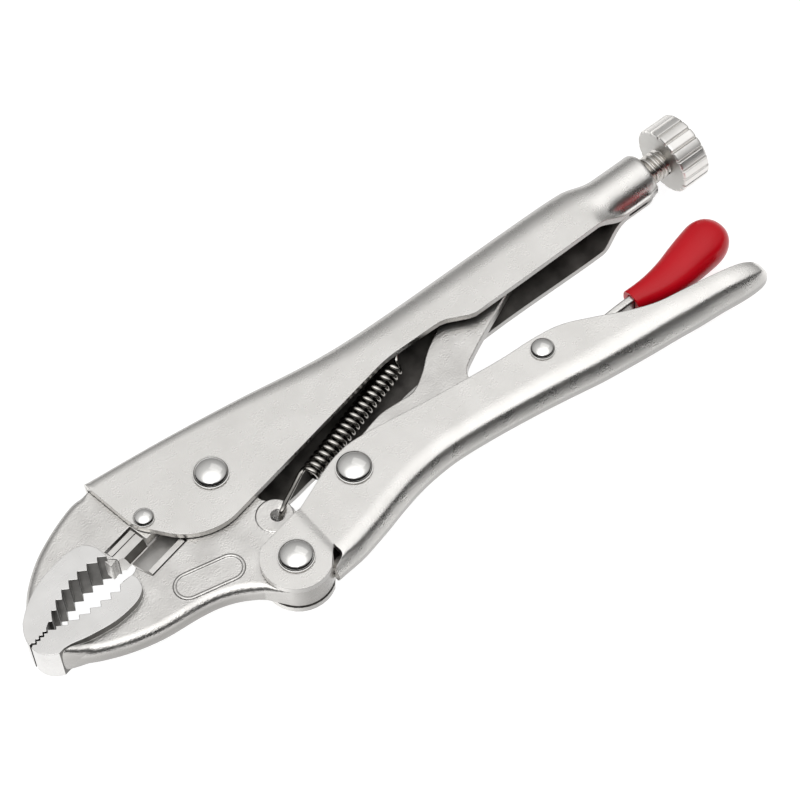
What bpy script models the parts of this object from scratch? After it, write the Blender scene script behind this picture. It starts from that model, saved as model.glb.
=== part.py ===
# Locking pliers with curved toothed jaws, a wire cutter, a toggle link and an adjusting screw.
# The tool lies on its side: +X runs from the jaws to the adjusting knob, +Y from the lower to the
# upper handle, +Z up. Lengths are millimetres from the jaw pivot until a mesh is made, and the
# root empty then puts the origin under the middle of the whole tool.

import math

import bmesh
import bpy
from mathutils import Matrix, Vector

MM = 0.001
GAP = 0.3            # air kept between neighbouring pieces
ARC_STEP = 15.0      # degrees of a round stretch that one straight side covers

# Stock and widths across the tool (along Z)
SHEET = 1.5          # handle sheet
JAW_PLATE = 5.6      # forged jaw plate
TOOTH_WIDTH = 9.2    # ground tooth pads
LINK_PLATE = 2.8     # toggle link plate
UPPER_HALF = JAW_PLATE / 2 + GAP + SHEET      # outside of the upper channel
LOBE_HALF = UPPER_HALF                        # outside of the lower handle's two lobes
LOWER_HALF = 4.1     # outside of the lower channel behind the lobes
TAIL_HALF = 4.8      # outside of the lower channel under the grip

# Pivots
JAW_PIVOT = (0.0, 0.0)
HANDLE_PIVOT = (1.45, -25.9)
LINK_PIVOT = (22.6, -17.3)
LEVER_PIVOT = (68.55, -20.6)
FIXED_RIVET = (-16.3, 0.5)

# Rivets: shank radius, head radius, head height
MAIN_RIVET = (2.6, 3.75, 1.3)
LEVER_RIVET = (1.6, 2.55, 1.0)
FIXED_JAW_RIVET = (1.4, 2.2, 0.9)

# Jaws
NOSE_X = -50.1       # front end of both jaws
HEAD_RADIUS = 9.1    # lower jaw's disc round the jaw pivot
TAIL_RADIUS = 7.2    # lower jaw's tail round the handle pivot
LOBE_RADIUS = 7.4
TOOTH_PITCH = 2.45
FINE_PITCH = 1.03
NOTCH = (-25.5, -5.0)      # round hole between the teeth and the cutter
NOTCH_RADIUS = 2.3
SPRING_HOLE = (4.7, -15.4)
SPRING_HOLE_RADIUS = 1.5

# Adjusting screw
SCREW_Y = 1.0
SCREW_RADIUS = 3.1
TUBE_RADIUS = 5.2
TUBE_END = 113.8
KNOB_RADIUS = 7.6
KNOB_START = 118.9
KNOB_LENGTH = 6.9
KNOB_FLUTES = 20
SCREW_TIP = 83.6     # where the turned point of the screw starts

# Toggle link and handle ends
LINK_END = (77.2, 1.3)
LINK_END_RADIUS = 3.6
HANDLE_END = 116.6   # rear end of the lower handle
GRIP_END = 117.3

# Spring
WIRE_RADIUS = 0.45
COIL_RADIUS = 1.4    # to the middle of the wire
COIL_TURNS = 18
ANCHOR = (49.5, -0.9)


# ---- outlines ----

def arc(centre, radius, start, end):
    """Points on an arc from one angle to another, in degrees, both ends included."""
    steps = max(2, math.ceil(abs(end - start) / ARC_STEP))
    angles = [math.radians(start + (end - start) * i / steps) for i in range(steps + 1)]
    return [(centre[0] + radius * math.cos(a), centre[1] + radius * math.sin(a)) for a in angles]


def smooth(points, per=3):
    """A smooth curve through the points, with `per` sides between each two."""
    ends = [points[0]] + list(points) + [points[-1]]
    curve = []
    for a, b, c, d in zip(ends, ends[1:], ends[2:], ends[3:]):
        for i in range(per):
            t = i / per
            curve.append(tuple(
                0.5 * (2 * q + (r - p) * t + (2 * p - 5 * q + 4 * r - s) * t * t
                       + (3 * q - p - 3 * r + s) * t ** 3)
                for p, q, r, s in zip(a, b, c, d)))
    return curve + [tuple(points[-1])]


def rounded(corners):
    """A polygon whose corners (x, y, radius) are turned into arcs."""
    outline = []
    for i, (x, y, radius) in enumerate(corners):
        here = Vector((x, y))
        before = (Vector(corners[i - 1][:2]) - here).normalized()
        after = (Vector(corners[(i + 1) % len(corners)][:2]) - here).normalized()
        half = before.angle(after) / 2
        if not radius:
            outline.append((x, y))
            continue
        centre = here + (before + after).normalized() * radius / math.sin(half)
        first = here + before * radius / math.tan(half) - centre
        last = here + after * radius / math.tan(half) - centre
        sweep = first.angle_signed(last)
        steps = max(1, math.ceil(math.degrees(abs(sweep)) / ARC_STEP))
        for k in range(steps + 1):
            spoke = Matrix.Rotation(-sweep * k / steps, 2) @ first
            outline.append(tuple(centre + spoke))
    return outline


def rounded_box(low, high, half, low_radius, high_radius, sides=5):
    """(y, z) points of a section from y = low to high and z = -half to half."""
    loop = []
    for y, z, radius, start in ((high, half, high_radius, 0), (high, -half, high_radius, 270),
                                (low, -half, low_radius, 180), (low, half, low_radius, 90)):
        middle_y = y - math.copysign(radius, y - (low + high) / 2)
        middle_z = z - math.copysign(radius, z)
        for i in range(sides + 1):
            angle = math.radians(start + 90 - 90 * i / sides)
            loop.append((middle_y + radius * math.cos(angle), middle_z + radius * math.sin(angle)))
    return loop


def oval(y, half_y, half_z, sides=16):
    """(y, z) points of an oval section."""
    angles = [2 * math.pi * i / sides for i in range(sides)]
    return [(y + half_y * math.cos(a), -half_z * math.sin(a)) for a in angles]


# ---- solids ----

def add_solid(name, mesh_builder, axis, material):
    """An object whose mesh is in the pivot's own coordinates, hung on that pivot's empty."""
    bmesh.ops.recalc_face_normals(mesh_builder, faces=mesh_builder.faces)
    if mesh_builder.calc_volume(signed=True) < 0:
        bmesh.ops.reverse_faces(mesh_builder, faces=mesh_builder.faces)
    bmesh.ops.scale(mesh_builder, vec=(MM, MM, MM), verts=mesh_builder.verts)
    bmesh.ops.translate(mesh_builder, vec=-Vector(axis["place"]), verts=mesh_builder.verts)
    mesh = bpy.data.meshes.new(name)
    mesh_builder.to_mesh(mesh)
    mesh_builder.free()
    mesh.shade_smooth()
    mesh.set_sharp_from_angle(angle=math.radians(35))
    solid = bpy.data.objects.new(name, mesh)
    bpy.context.scene.collection.objects.link(solid)
    solid.parent = axis
    if material:
        mesh.materials.append(material)
    else:
        solid.hide_render = True
        solid.display_type = "WIRE"
    return solid


def prism(name, outline, low, high, axis, material=None):
    """An outline in X and Y, standing from z = low to z = high."""
    builder = bmesh.new()
    floor = builder.faces.new([builder.verts.new((x, y, low)) for x, y in outline])
    raised = bmesh.ops.extrude_face_region(builder, geom=[floor])["geom"]
    tops = [item for item in raised if isinstance(item, bmesh.types.BMVert)]
    bmesh.ops.translate(builder, vec=(0, 0, high - low), verts=tops)
    return add_solid(name, builder, axis, material)


def loft(name, loops, axis, material=None, turn=Matrix()):
    """A closed solid through rings of points, each ring with the same count."""
    builder = bmesh.new()
    rings = [[builder.verts.new(turn @ Vector(point)) for point in loop] for loop in loops]
    for first, second in zip(rings, rings[1:]):
        for i in range(len(first)):
            j = (i + 1) % len(first)
            builder.faces.new((first[i], first[j], second[j], second[i]))
    builder.faces.new(rings[0])
    builder.faces.new(rings[-1])
    return add_solid(name, builder, axis, material)


def along_x(sections):
    """Rings at each x of (x, [(y, z), ...])."""
    return [[(x, y, z) for y, z in section] for x, section in sections]


def turned(name, profile, centre, axis, material=None, direction="Z", sides=24):
    """A turned solid from (radius, height) points; the first and last lie near the axis."""
    loops = []
    for radius, height in profile:
        ring = []
        for i in range(sides):
            angle = 2 * math.pi * (i + 0.5) / sides
            across, up = radius * math.cos(angle), radius * math.sin(angle)
            if direction == "Z":
                ring.append((centre[0] + across, centre[1] + up, height))
            else:
                ring.append((height, centre[0] + across, centre[1] + up))
        loops.append(ring)
    return loft(name, loops, axis, material)


def swept(name, path, radius, axis, material, sides=6):
    """A round wire along a path."""
    points = [Vector(p) for p in path]
    across = (points[1] - points[0]).orthogonal().normalized()
    loops = []
    for i, point in enumerate(points):
        forward = (points[min(i + 1, len(points) - 1)] - points[max(i - 1, 0)]).normalized()
        across = (across - forward * across.dot(forward)).normalized()
        side = forward.cross(across)
        angles = [2 * math.pi * k / sides for k in range(sides)]
        loops.append([point + radius * (math.cos(a) * across + math.sin(a) * side) for a in angles])
    return loft(name, loops, axis, material)


def boolean(target, other, operation):
    """Cut `other` from the target, or join it on; `other` is only a helper."""
    modifier = target.modifiers.new(operation.title() + "." + other.name, "BOOLEAN")
    modifier.operation = operation
    modifier.object = other
    modifier.solver = "EXACT"


def drill(target, centre, radius, axis):
    """A round hole through the whole tool along Z."""
    reach = KNOB_RADIUS + 2
    hole = turned(target.name + "_hole", [(radius, -reach), (radius, reach)], centre, axis)
    boolean(target, hole, "DIFFERENCE")


# ---- scene, materials and pivots ----

def clear_scene():
    for thing in list(bpy.data.objects):
        bpy.data.objects.remove(thing, do_unlink=True)


def finish_material(name, colour, roughness, metallic):
    material = bpy.data.materials.new(name)
    material.use_nodes = True
    shader = material.node_tree.nodes["Principled BSDF"]
    shader.inputs["Base Color"].default_value = (*colour, 1.0)
    shader.inputs["Roughness"].default_value = roughness
    shader.inputs["Metallic"].default_value = metallic
    return material


def pivot(name, place, root=None):
    """An empty on a joint's axis, given in millimetres from the jaw pivot."""
    empty = bpy.data.objects.new(name, None)
    bpy.context.scene.collection.objects.link(empty)
    empty.location = Vector((*place, 0.0)) * MM
    empty["place"] = tuple(empty.location)
    empty.parent = root
    return empty


# ---- teeth ----

SHALLOW = Vector((0.835, -0.55)).normalized()   # long flank of every tooth
STEEP = Vector((0.5, 0.866))                    # short flank of every tooth


def meet(start, along, other, other_along):
    """Where the line from `start` meets the line from `other`."""
    start, other = Vector(start), Vector(other)
    share = (other - start).cross(other_along) / along.cross(other_along)
    return tuple(start + along * share)


def teeth(roots, upwards):
    """Roots with a tip between each two, running from the throat towards the nose."""
    outline = [roots[0]]
    for right, left in zip(roots, roots[1:]):
        if upwards:
            tip = meet(right, -SHALLOW, left, STEEP)
        else:
            tip = meet(left, SHALLOW, right, -STEEP)
        outline += [tip, left]
    return outline


def tooth_roots(centre, radius, first_x, count, side):
    """Roots evenly spaced round an arc, from the one at first_x towards the nose."""
    step = TOOTH_PITCH / radius
    start = math.asin((first_x - centre[0]) / radius)
    angles = [start - step * i for i in range(count)]
    return [(centre[0] + radius * math.sin(a), centre[1] + side * radius * math.cos(a))
            for a in angles]


def fine_teeth(shift):
    """The small teeth at the nose, which both jaws share a gap apart."""
    first = (NOSE_X + 4.75, -6.9 + shift)
    roots = [(first[0] - FINE_PITCH * i, first[1] - 0.21 * i) for i in range(5)]
    return teeth(roots, upwards=False)


# ---- wire cutter ----

CUTTER_SLOPE = math.atan(0.2)          # the cutting edges point at the jaw pivot
CUTTER_START = (-23.2, -3.9)


def cutter_frame():
    return Matrix.Translation((*CUTTER_START, 0)) @ Matrix.Rotation(CUTTER_SLOPE, 4, "Z")


def cutter_insert(name, side, bevel, depth, length, axis, material):
    """A hard insert with a V edge: side is 1 above the parting line and -1 below it."""
    half, edge = JAW_PLATE / 2, 0.25
    section = [(edge * 0.6, edge), (bevel, half), (depth, half),
               (depth, -half), (bevel, -half), (edge * 0.6, -edge)]
    loops = [[(x, side * y, z) for y, z in section] for x in (0, length)]
    return loft(name, loops, axis, material, cutter_frame())


def cutter_pocket(target, side, bevel, depth, length, axis):
    """The slot that holds an insert, open to the throat and to the parting line."""
    half = JAW_PLATE / 2 + 1
    low, high = -1.5, length + GAP
    section = [(-1.0, half), (depth + GAP, half), (depth + GAP, -half), (-1.0, -half)]
    loops = [[(x, side * y, z) for y, z in section] for x in (low, high)]
    pocket = loft(target.name + "_pocket", loops, axis, None, cutter_frame())
    boolean(target, pocket, "DIFFERENCE")


UPPER_CUTTER = (3.2, 4.4, 4.8)      # bevel height, full depth and length of the insert
LOWER_CUTTER = (4.9, 6.0, 9.5)


# ---- pieces ----

def upper_spine():
    """(x, y of the spine, corner radius, half width) along the upper handle."""
    tube_top = SCREW_Y + TUBE_RADIUS
    return [(-22, 15.4, 2.6, UPPER_HALF), (1, 13.1, 2.6, UPPER_HALF), (16, 11.2, 2.6, UPPER_HALF),
            (26, 9.7, 2.7, UPPER_HALF), (34, 8.7, 2.8, UPPER_HALF), (42, 8.25, 2.9, UPPER_HALF),
            (60, 8.2, 3.4, UPPER_HALF), (86, 8.2, 4.2, UPPER_HALF), (94, 8.1, 4.4, UPPER_HALF + 0.2),
            (99, tube_top + 1.3, 4.6, UPPER_HALF + 0.3), (104, tube_top + 0.2, TUBE_RADIUS, TUBE_RADIUS)]


CHANNEL_EDGE = -5.0    # lower edge of the upper channel's rear half


def upper_lower_edge():
    """The upper handle's front and lower edge, with the waste below it closed far away."""
    return rounded([(-19.0 - 2.0, 18, 0), (-18.9, 0.4, 6), (-9.5, -12.2, 13.5), (43, -1.7, 25),
                    (57.5, -1.9, 5), (68.6, -7.8, 0), (68.6, -24, 0), (-40, -24, 0), (-40, 18, 0)])


def make_upper_handle(axis, material):
    outside = []
    for x, high, radius, half in upper_spine():
        low, low_radius = (-13.5, 0.2) if x < 50 else (CHANNEL_EDGE, 0.2)
        if x >= 99:
            low, low_radius = CHANNEL_EDGE, (1.2 if x < 104 else TUBE_RADIUS - 0.3)
        if x >= 104:
            low = SCREW_Y - TUBE_RADIUS
        outside.append((x, rounded_box(low, high, half, low_radius, radius)))
    for x, radius in ((107, TUBE_RADIUS), (TUBE_END - 0.8, TUBE_RADIUS), (TUBE_END, TUBE_RADIUS - 0.7)):
        outside.append((x, rounded_box(SCREW_Y - radius, SCREW_Y + radius, radius, radius, radius)))
    handle = loft("upper_handle", along_x(outside), axis, material)

    ridge = loft("seam_ridge", along_x(
        [(x, rounded_box(SCREW_Y - TUBE_RADIUS - 0.9, SCREW_Y - 4.2, 1.2, 0.5, 0.2))
         for x in (102.5, TUBE_END - 1.6)]), axis)
    boolean(handle, ridge, "UNION")

    inside = []
    for x, high, radius, half in upper_spine():
        if x <= 94:
            inside.append((x - (4 if x < 0 else 0), rounded_box(
                -17, high - SHEET, UPPER_HALF - SHEET, 0.2, max(radius - SHEET, 0.4))))
    inside.append((103.5, rounded_box(-17, SCREW_Y + 1, GAP, 0.1, 0.2)))
    boolean(handle, loft("channel", along_x(inside), axis), "DIFFERENCE")

    seam = loft("seam", along_x([(x, rounded_box(-17, SCREW_Y, GAP / 2, 0.05, 0.05))
                                 for x in (101, TUBE_END + 2)]), axis)
    boolean(handle, seam, "DIFFERENCE")
    bore = turned("screw_bore", [(SCREW_RADIUS + GAP, SCREW_TIP), (SCREW_RADIUS + GAP, TUBE_END + 3)],
                  (SCREW_Y, 0), axis, direction="X")
    boolean(handle, bore, "DIFFERENCE")
    boolean(handle, prism("edge_trim", upper_lower_edge(), -12, 12, axis), "DIFFERENCE")

    far_wall = rounded([(3, -7.5, 0), (5, -10.0, 0), (9, -11.2, 2), (18, -10.1, 8), (27, -9.9, 20),
                        (38, -8.3, 20), (47, -6.8, 12), (56.5, -5.0, 8), (66, -6.4, 8), (90, -6.3, 0),
                        (92, -3.6, 0), (63, -3.0, 0), (56, 0.5, 0), (44, 0.4, 0), (20, -4.2, 0)])
    boolean(handle, prism("far_wall", far_wall, -UPPER_HALF + 0.02, SHEET - UPPER_HALF - 0.02, axis), "UNION")

    ceiling = 8.2 - SHEET / 2
    tab = prism("anchor_tab", [(ANCHOR[0] - 1.7, ceiling), (ANCHOR[0] - 1.7, ANCHOR[1] - 1.5),
                               (ANCHOR[0] + 1.7, ANCHOR[1] - 1.5), (ANCHOR[0] + 1.7, ceiling)],
                -SHEET / 2, SHEET / 2, axis)
    boolean(handle, tab, "UNION")
    drill(handle, JAW_PIVOT, MAIN_RIVET[0] + GAP, axis)
    drill(handle, FIXED_RIVET, FIXED_JAW_RIVET[0] + GAP, axis)
    eye = turned("anchor_eye", [(WIRE_RADIUS * 2, -SHEET), (WIRE_RADIUS * 2, SHEET)],
                 ANCHOR, axis, sides=12)
    boolean(handle, eye, "DIFFERENCE")
    return handle


UPPER_ARC = ((-31.0, -19.0), 18.5)      # centre and radius of the fixed jaw's tooth roots
LOWER_ARC = ((-33.5, 25.05), 35.0)      # of the lower jaw's


def fixed_jaw_teeth():
    roots = tooth_roots(*UPPER_ARC, -28.6, 8, 1)
    first_tip = meet(roots[0], SHALLOW, (-27.0, 0), Vector((0, 1)))
    return [first_tip] + teeth(roots, upwards=False) + fine_teeth(0)


def make_fixed_jaw(axis, material):
    pad_top = smooth([(-48.3, -3.0), (-45.6, -0.6), (-42, 1.6), (-38, 3.1), (-33, 3.95), (-29.6, 3.6),
                      (-27.6, 1.6), (-27.0, -1.0)])
    nose = smooth([(NOSE_X, -7.9), (-49.6, -5.4), (-48.3, -3.0)])[:-1]
    pad = fixed_jaw_teeth() + nose + pad_top
    jaw = prism("fixed_jaw", pad, -TOOTH_WIDTH / 2, TOOTH_WIDTH / 2, axis, material)

    shank = [(-5.5, 13.5 - SHEET - 4 * GAP), (-20.9, 15.2 - SHEET - 4 * GAP)]
    back = smooth([(-21.3, 13.5), (-24, 14.0), (-28, 12.9), (-33, 10.8), (-38, 8.0),
                   (-43, 3.8), (-46.6, -0.9), (-48.6, -4.6)])
    head = arc(JAW_PIVOT, HEAD_RADIUS + 1.5 * GAP, 185, 125)
    parting = [(-27.6, -1.0), (-27.3, -3.1)] + arc(NOTCH, NOTCH_RADIUS, 122, 34)
    plate = (shank + back + [(-47.6, -5.6), (-42, -2.6), (-36, 0.6), (-29.6, 1.4)]
             + parting + head)
    body = prism("fixed_jaw_plate", plate, -JAW_PLATE / 2, JAW_PLATE / 2, axis)
    boolean(jaw, body, "UNION")
    cutter_pocket(jaw, 1, *UPPER_CUTTER, axis)
    drill(jaw, FIXED_RIVET, FIXED_JAW_RIVET[0] + GAP, axis)
    return jaw


def make_lower_jaw(axis, material):
    roots = tooth_roots(*LOWER_ARC, -29.5, 7, -1)
    first_tip = tuple(Vector(roots[0]) + STEEP * 1.5)
    edge = [(-25.6, -8.2), first_tip] + teeth(roots, upwards=True) + fine_teeth(-1.2 * GAP)
    nose = smooth([(NOSE_X, -8.5), (-49.4, -10.6), (-47.6, -12.5), (-45.6, -13.7)])
    pad_low = smooth([(-44.4, -12.7), (-40, -13.7), (-34, -14.4), (-28.6, -13.7), (-25.9, -12.0),
                      (-25.2, -9.6)])
    pad = edge + nose + pad_low
    jaw = prism("lower_jaw", pad, -TOOTH_WIDTH / 2, TOOTH_WIDTH / 2, axis, material)

    head = arc(JAW_PIVOT, HEAD_RADIUS, -62, 188)
    parting = arc(NOTCH, NOTCH_RADIUS, 12, -100) + [(-27.4, -7.3), (-28.0, -9.4)]
    inner = [(-33, -11.2), (-42, -10.2), (-48.3, -9.2)]
    belly = smooth([(-48.6, -11.0), (-45.4, -13.6), (-40, -16.9), (-34, -19.4), (-27.5, -21.0),
                    (-20, -21.75), (-15.4, -22.6), (-11.4, -24.2), (-7.3, -26.9)])
    tail = arc(HANDLE_PIVOT, TAIL_RADIUS, -138, 50)
    neck = [(7.7, -18.4), (8.0, -15.9), (7.0, -13.6), (3.7, -10.3)]
    plate = head + parting + inner + belly + tail + neck
    body = prism("lower_jaw_plate", plate, -JAW_PLATE / 2, JAW_PLATE / 2, axis)
    boolean(jaw, body, "UNION")
    cutter_pocket(jaw, -1, *LOWER_CUTTER, axis)
    drill(jaw, JAW_PIVOT, MAIN_RIVET[0] + GAP, axis)
    hinge = turned("tail_hole", [(MAIN_RIVET[0] + GAP, -9), (MAIN_RIVET[0] + GAP, 9)],
                   HANDLE_PIVOT, axis)
    boolean(jaw, hinge, "DIFFERENCE")
    eye = turned("spring_eye", [(SPRING_HOLE_RADIUS, -9), (SPRING_HOLE_RADIUS, 9)],
                 SPRING_HOLE, axis, sides=16)
    boolean(jaw, eye, "DIFFERENCE")
    return jaw


def lower_channel():
    """(x, spine y, wall top y, half width) along the lower handle."""
    return [(9.1, -33.1, -17.5, LOWER_HALF), (12.5, -32.7, -16.1, LOWER_HALF),
            (16.5, -31.8, -14.4, LOWER_HALF), (20.5, -30.8, -13.0, LOWER_HALF),
            (25, -29.5, -12.3, LOWER_HALF), (30, -28.3, -12.6, LOWER_HALF),
            (35, -27.6, -13.3, LOWER_HALF), (41, -27.35, -14.3, LOWER_HALF),
            (50, -28.1, -15.6, LOWER_HALF), (61, -29.6, -16.8, LOWER_HALF + 0.2),
            (69, -31.0, -17.35, LOWER_HALF + 0.4), (75, -32.1, -18.5, LOWER_HALF + 0.5),
            (81, -32.9, -21.6, LOWER_HALF + 0.6), (87, -33.5, -24.8, TAIL_HALF),
            (93, -33.9, -27.3, TAIL_HALF), (99, -34.3, -28.4, TAIL_HALF),
            (105, -34.7, -29.6, TAIL_HALF), (110, -35.4, -30.9, TAIL_HALF - 0.2),
            (113.5, -35.7, -32.0, TAIL_HALF - 0.8)]


def make_lower_handle(axis, material):
    outside = [(x, rounded_box(low, high, half, min(3.0, (high - low) * 0.48), 0.2))
               for x, low, high, half in lower_channel()]
    outside.append((HANDLE_END - 1.0, rounded_box(-35.4, -32.6, 3.1, 1.3, 0.6)))
    outside.append((HANDLE_END, rounded_box(-34.7, -33.3, 1.8, 0.6, 0.4)))
    handle = loft("lower_handle", along_x(outside), axis, material)
    for side in (-1, 1):
        lobe = (arc(HANDLE_PIVOT, LOBE_RADIUS, 129, 315)
                + [(10.2, -31.2), (10.2, -17.4)])
        inner, outer = JAW_PLATE / 2 + GAP, LOBE_HALF
        low, high = sorted((side * inner, side * outer))
        boolean(handle, prism("lobe", lobe, low, high, axis), "UNION")
    inside = []
    for x, low, high, half in lower_channel():
        floor_radius = min(1.6, (high - low) * 0.3)
        inside.append((x - (3 if x < 10 else 0), rounded_box(
            low + SHEET, -6, half - SHEET, floor_radius, 0.2)))
    boolean(handle, loft("handle_channel", along_x(inside), axis), "DIFFERENCE")
    for centre, radius in ((HANDLE_PIVOT, MAIN_RIVET[0]), (LINK_PIVOT, MAIN_RIVET[0]),
                           (LEVER_PIVOT, LEVER_RIVET[0])):
        drill(handle, centre, radius + GAP, axis)
    return handle


def make_toggle_link(axis, material):
    outline = (arc(LINK_PIVOT, 5.6, 75, 262)
               + [(36, -22.3), (50, -21.2), (54.3, -19.6), (54.7, -18.2)]
               + smooth([(54.2, -14.6), (55.6, -12.3), (59, -10.3), (64, -7.9), (71, -4.75), (76.6, -2.2)])
               + arc(LINK_END, LINK_END_RADIUS, -65, 100)
               + smooth([(70, 4.3), (62, 1.6), (56.5, -1.3), (51.5, -4.2), (47.6, -7.4), (43.5, -9.7),
                         (39.5, -9.6), (35, -9.5), (29.5, -10.8)]))
    link = prism("toggle_link", outline, -LINK_PLATE / 2, LINK_PLATE / 2, axis, material)
    drill(link, LINK_PIVOT, MAIN_RIVET[0] + GAP, axis)
    return link


def lever_sections():
    """(x, low y, high y, half width) along the release lever's sheet."""
    inner = LOWER_HALF - SHEET - GAP
    return [(57.4, -20.3, -18.6, inner - 0.6), (60.5, -21.8, -18.1, inner), (66, -23.3, -18.0, inner),
            (71, -23.3, -18.2, inner), (76, -22.9, -19.6, inner), (82, -22.9, -21.0, inner),
            (88, -22.7, -20.9, inner), (95, -22.4, -20.6, 1.9), (102, -21.8, -20.0, 2.4),
            (108, -21.0, -19.2, 2.8), (111.5, -20.7, -19.1, 2.4)]


def make_release_lever(axis, material):
    sections = [(x, rounded_box(low, high, half, 0.7, 0.7, sides=3))
                for x, low, high, half in lever_sections()]
    lever = loft("release_lever", along_x(sections), axis, material)
    drill(lever, LEVER_PIVOT, LEVER_RIVET[0] + GAP, axis)
    return lever


def make_lever_grip(axis, material):
    ovals = [(91.2, -21.45, 2.55, 2.75), (94, -21.5, 3.0, 2.9), (97, -21.45, 3.6, 3.1),
             (101, -21.4, 4.3, 3.5), (105, -21.2, 4.75, 3.9), (109, -20.8, 5.05, 4.2),
             (112, -20.45, 5.1, 4.3), (114.3, -20.3, 4.55, 4.0), (116, -20.3, 3.4, 3.1),
             (GRIP_END, -20.4, 1.0, 0.9)]
    grip = loft("lever_grip", along_x([(x, oval(y, a, b)) for x, y, a, b in ovals]), axis, material)
    hollow = [(x, rounded_box(low - GAP, high + GAP, half + GAP, 0.8, 0.8, sides=3))
              for x, low, high, half in lever_sections() if x > 80]
    last = hollow[-1]
    hollow.append((last[0] + GAP, last[1]))
    boolean(grip, loft("grip_hollow", along_x(hollow), axis), "DIFFERENCE")
    return grip


def make_rivet(name, centre, sizes, outside, axis, material):
    """A rivet with a domed head on each side of walls whose outsides are 2 * outside apart."""
    shank, head, height = sizes
    seat = outside + GAP
    dome = [(head * math.cos(a), seat + height * math.sin(a))
            for a in (math.radians(5 + 20 * i) for i in range(5))]
    upper = [(shank, seat), (head, seat)] + dome[1:] + [(0.05, seat + height)]
    profile = [(radius, -z) for radius, z in reversed(upper)] + upper
    return turned(name, profile, centre, axis, material, sides=20)


def make_screw(slide_axis, turn_axis, material, point_material):
    tip = [(0.6, SCREW_TIP), (1.7, SCREW_TIP + 0.3), (2.4, SCREW_TIP + 1.0), (2.4, SCREW_TIP + 2.6)]
    turned("screw_point", tip, (SCREW_Y, 0), slide_axis, point_material, "X", sides=16)
    start = SCREW_TIP + 2.6 + GAP
    end = KNOB_START + KNOB_LENGTH - 2.0
    rod = [(SCREW_RADIUS - 0.5, start), (SCREW_RADIUS, start + 0.5), (SCREW_RADIUS, end)]
    turned("adjusting_screw", rod, (SCREW_Y, 0), turn_axis, material, "X")
    knob_end = KNOB_START + KNOB_LENGTH
    stations = ((KNOB_START, 0.93), (KNOB_START + 0.6, 1.0), (knob_end - 0.6, 1.0), (knob_end, 0.93))
    sections = []
    for x, scale in stations:
        ring = []
        for i in range(KNOB_FLUTES):
            for share, radius in ((0.0, KNOB_RADIUS), (0.55, KNOB_RADIUS), (0.775, KNOB_RADIUS - 0.7)):
                angle = 2 * math.pi * (i + share) / KNOB_FLUTES
                reach = radius * scale
                ring.append((SCREW_Y + reach * math.cos(angle), -reach * math.sin(angle)))
        sections.append((x, ring))
    knob = loft("adjusting_knob", along_x(sections), turn_axis, material)
    socket = turned("knob_socket", [(SCREW_RADIUS + GAP, KNOB_START - 1), (SCREW_RADIUS + GAP, end + GAP)],
                    (SCREW_Y, 0), turn_axis, direction="X")
    boolean(knob, socket, "DIFFERENCE")


def make_spring(axis, material):
    """An extension spring from the eye in the lower jaw to the tab inside the upper handle."""
    start, end = Vector((16.2, -10.9, 0)), Vector((44.6, -2.75, 0))
    forward = (end - start).normalized()
    side = Vector((0, 0, 1))
    up = side.cross(forward)
    per_turn = 9
    coil = []
    for i in range(COIL_TURNS * per_turn + 1):
        angle = 2 * math.pi * i / per_turn
        middle = start.lerp(end, i / (COIL_TURNS * per_turn))
        coil.append(middle + COIL_RADIUS * (math.cos(angle) * side + math.sin(angle) * up))
    top = JAW_PLATE / 2 + GAP + WIRE_RADIUS
    hole_x, hole_y = SPRING_HOLE
    front_hook = [(hole_x + 0.3, hole_y + 0.2, -1.6), (hole_x, hole_y, 0.6), (hole_x, hole_y, 2.4),
                  (hole_x + 0.8, hole_y + 0.4, top + 0.1), (hole_x + 2.6, hole_y + 1.1, top + 0.1),
                  (start.x - 1.8, start.y - 0.5, 1.9)]
    rear_hook = [(end.x + 1.6, end.y + 0.5, 1.5), (ANCHOR[0] - 1.0, ANCHOR[1] - 0.4, 1.7),
                 (ANCHOR[0], ANCHOR[1], 1.2), (ANCHOR[0], ANCHOR[1], -0.9)]
    return swept("jaw_spring", front_hook + [tuple(p) for p in coil] + rear_hook,
                 WIRE_RADIUS, axis, material, sides=5)


def stand_on_origin(root):
    """Move the root so that the origin lies under the middle of the tool."""
    bpy.context.view_layer.update()
    graph = bpy.context.evaluated_depsgraph_get()
    corners = []
    for thing in bpy.context.scene.objects:
        if thing.type == "MESH" and not thing.hide_render:
            solid = thing.evaluated_get(graph)
            corners += [solid.matrix_world @ vertex.co for vertex in solid.data.vertices]
    low = [min(corner[i] for corner in corners) for i in range(3)]
    high = [max(corner[i] for corner in corners) for i in range(3)]
    root.location = (-(low[0] + high[0]) / 2, -(low[1] + high[1]) / 2, -low[2])
    bpy.context.view_layer.update()


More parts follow.
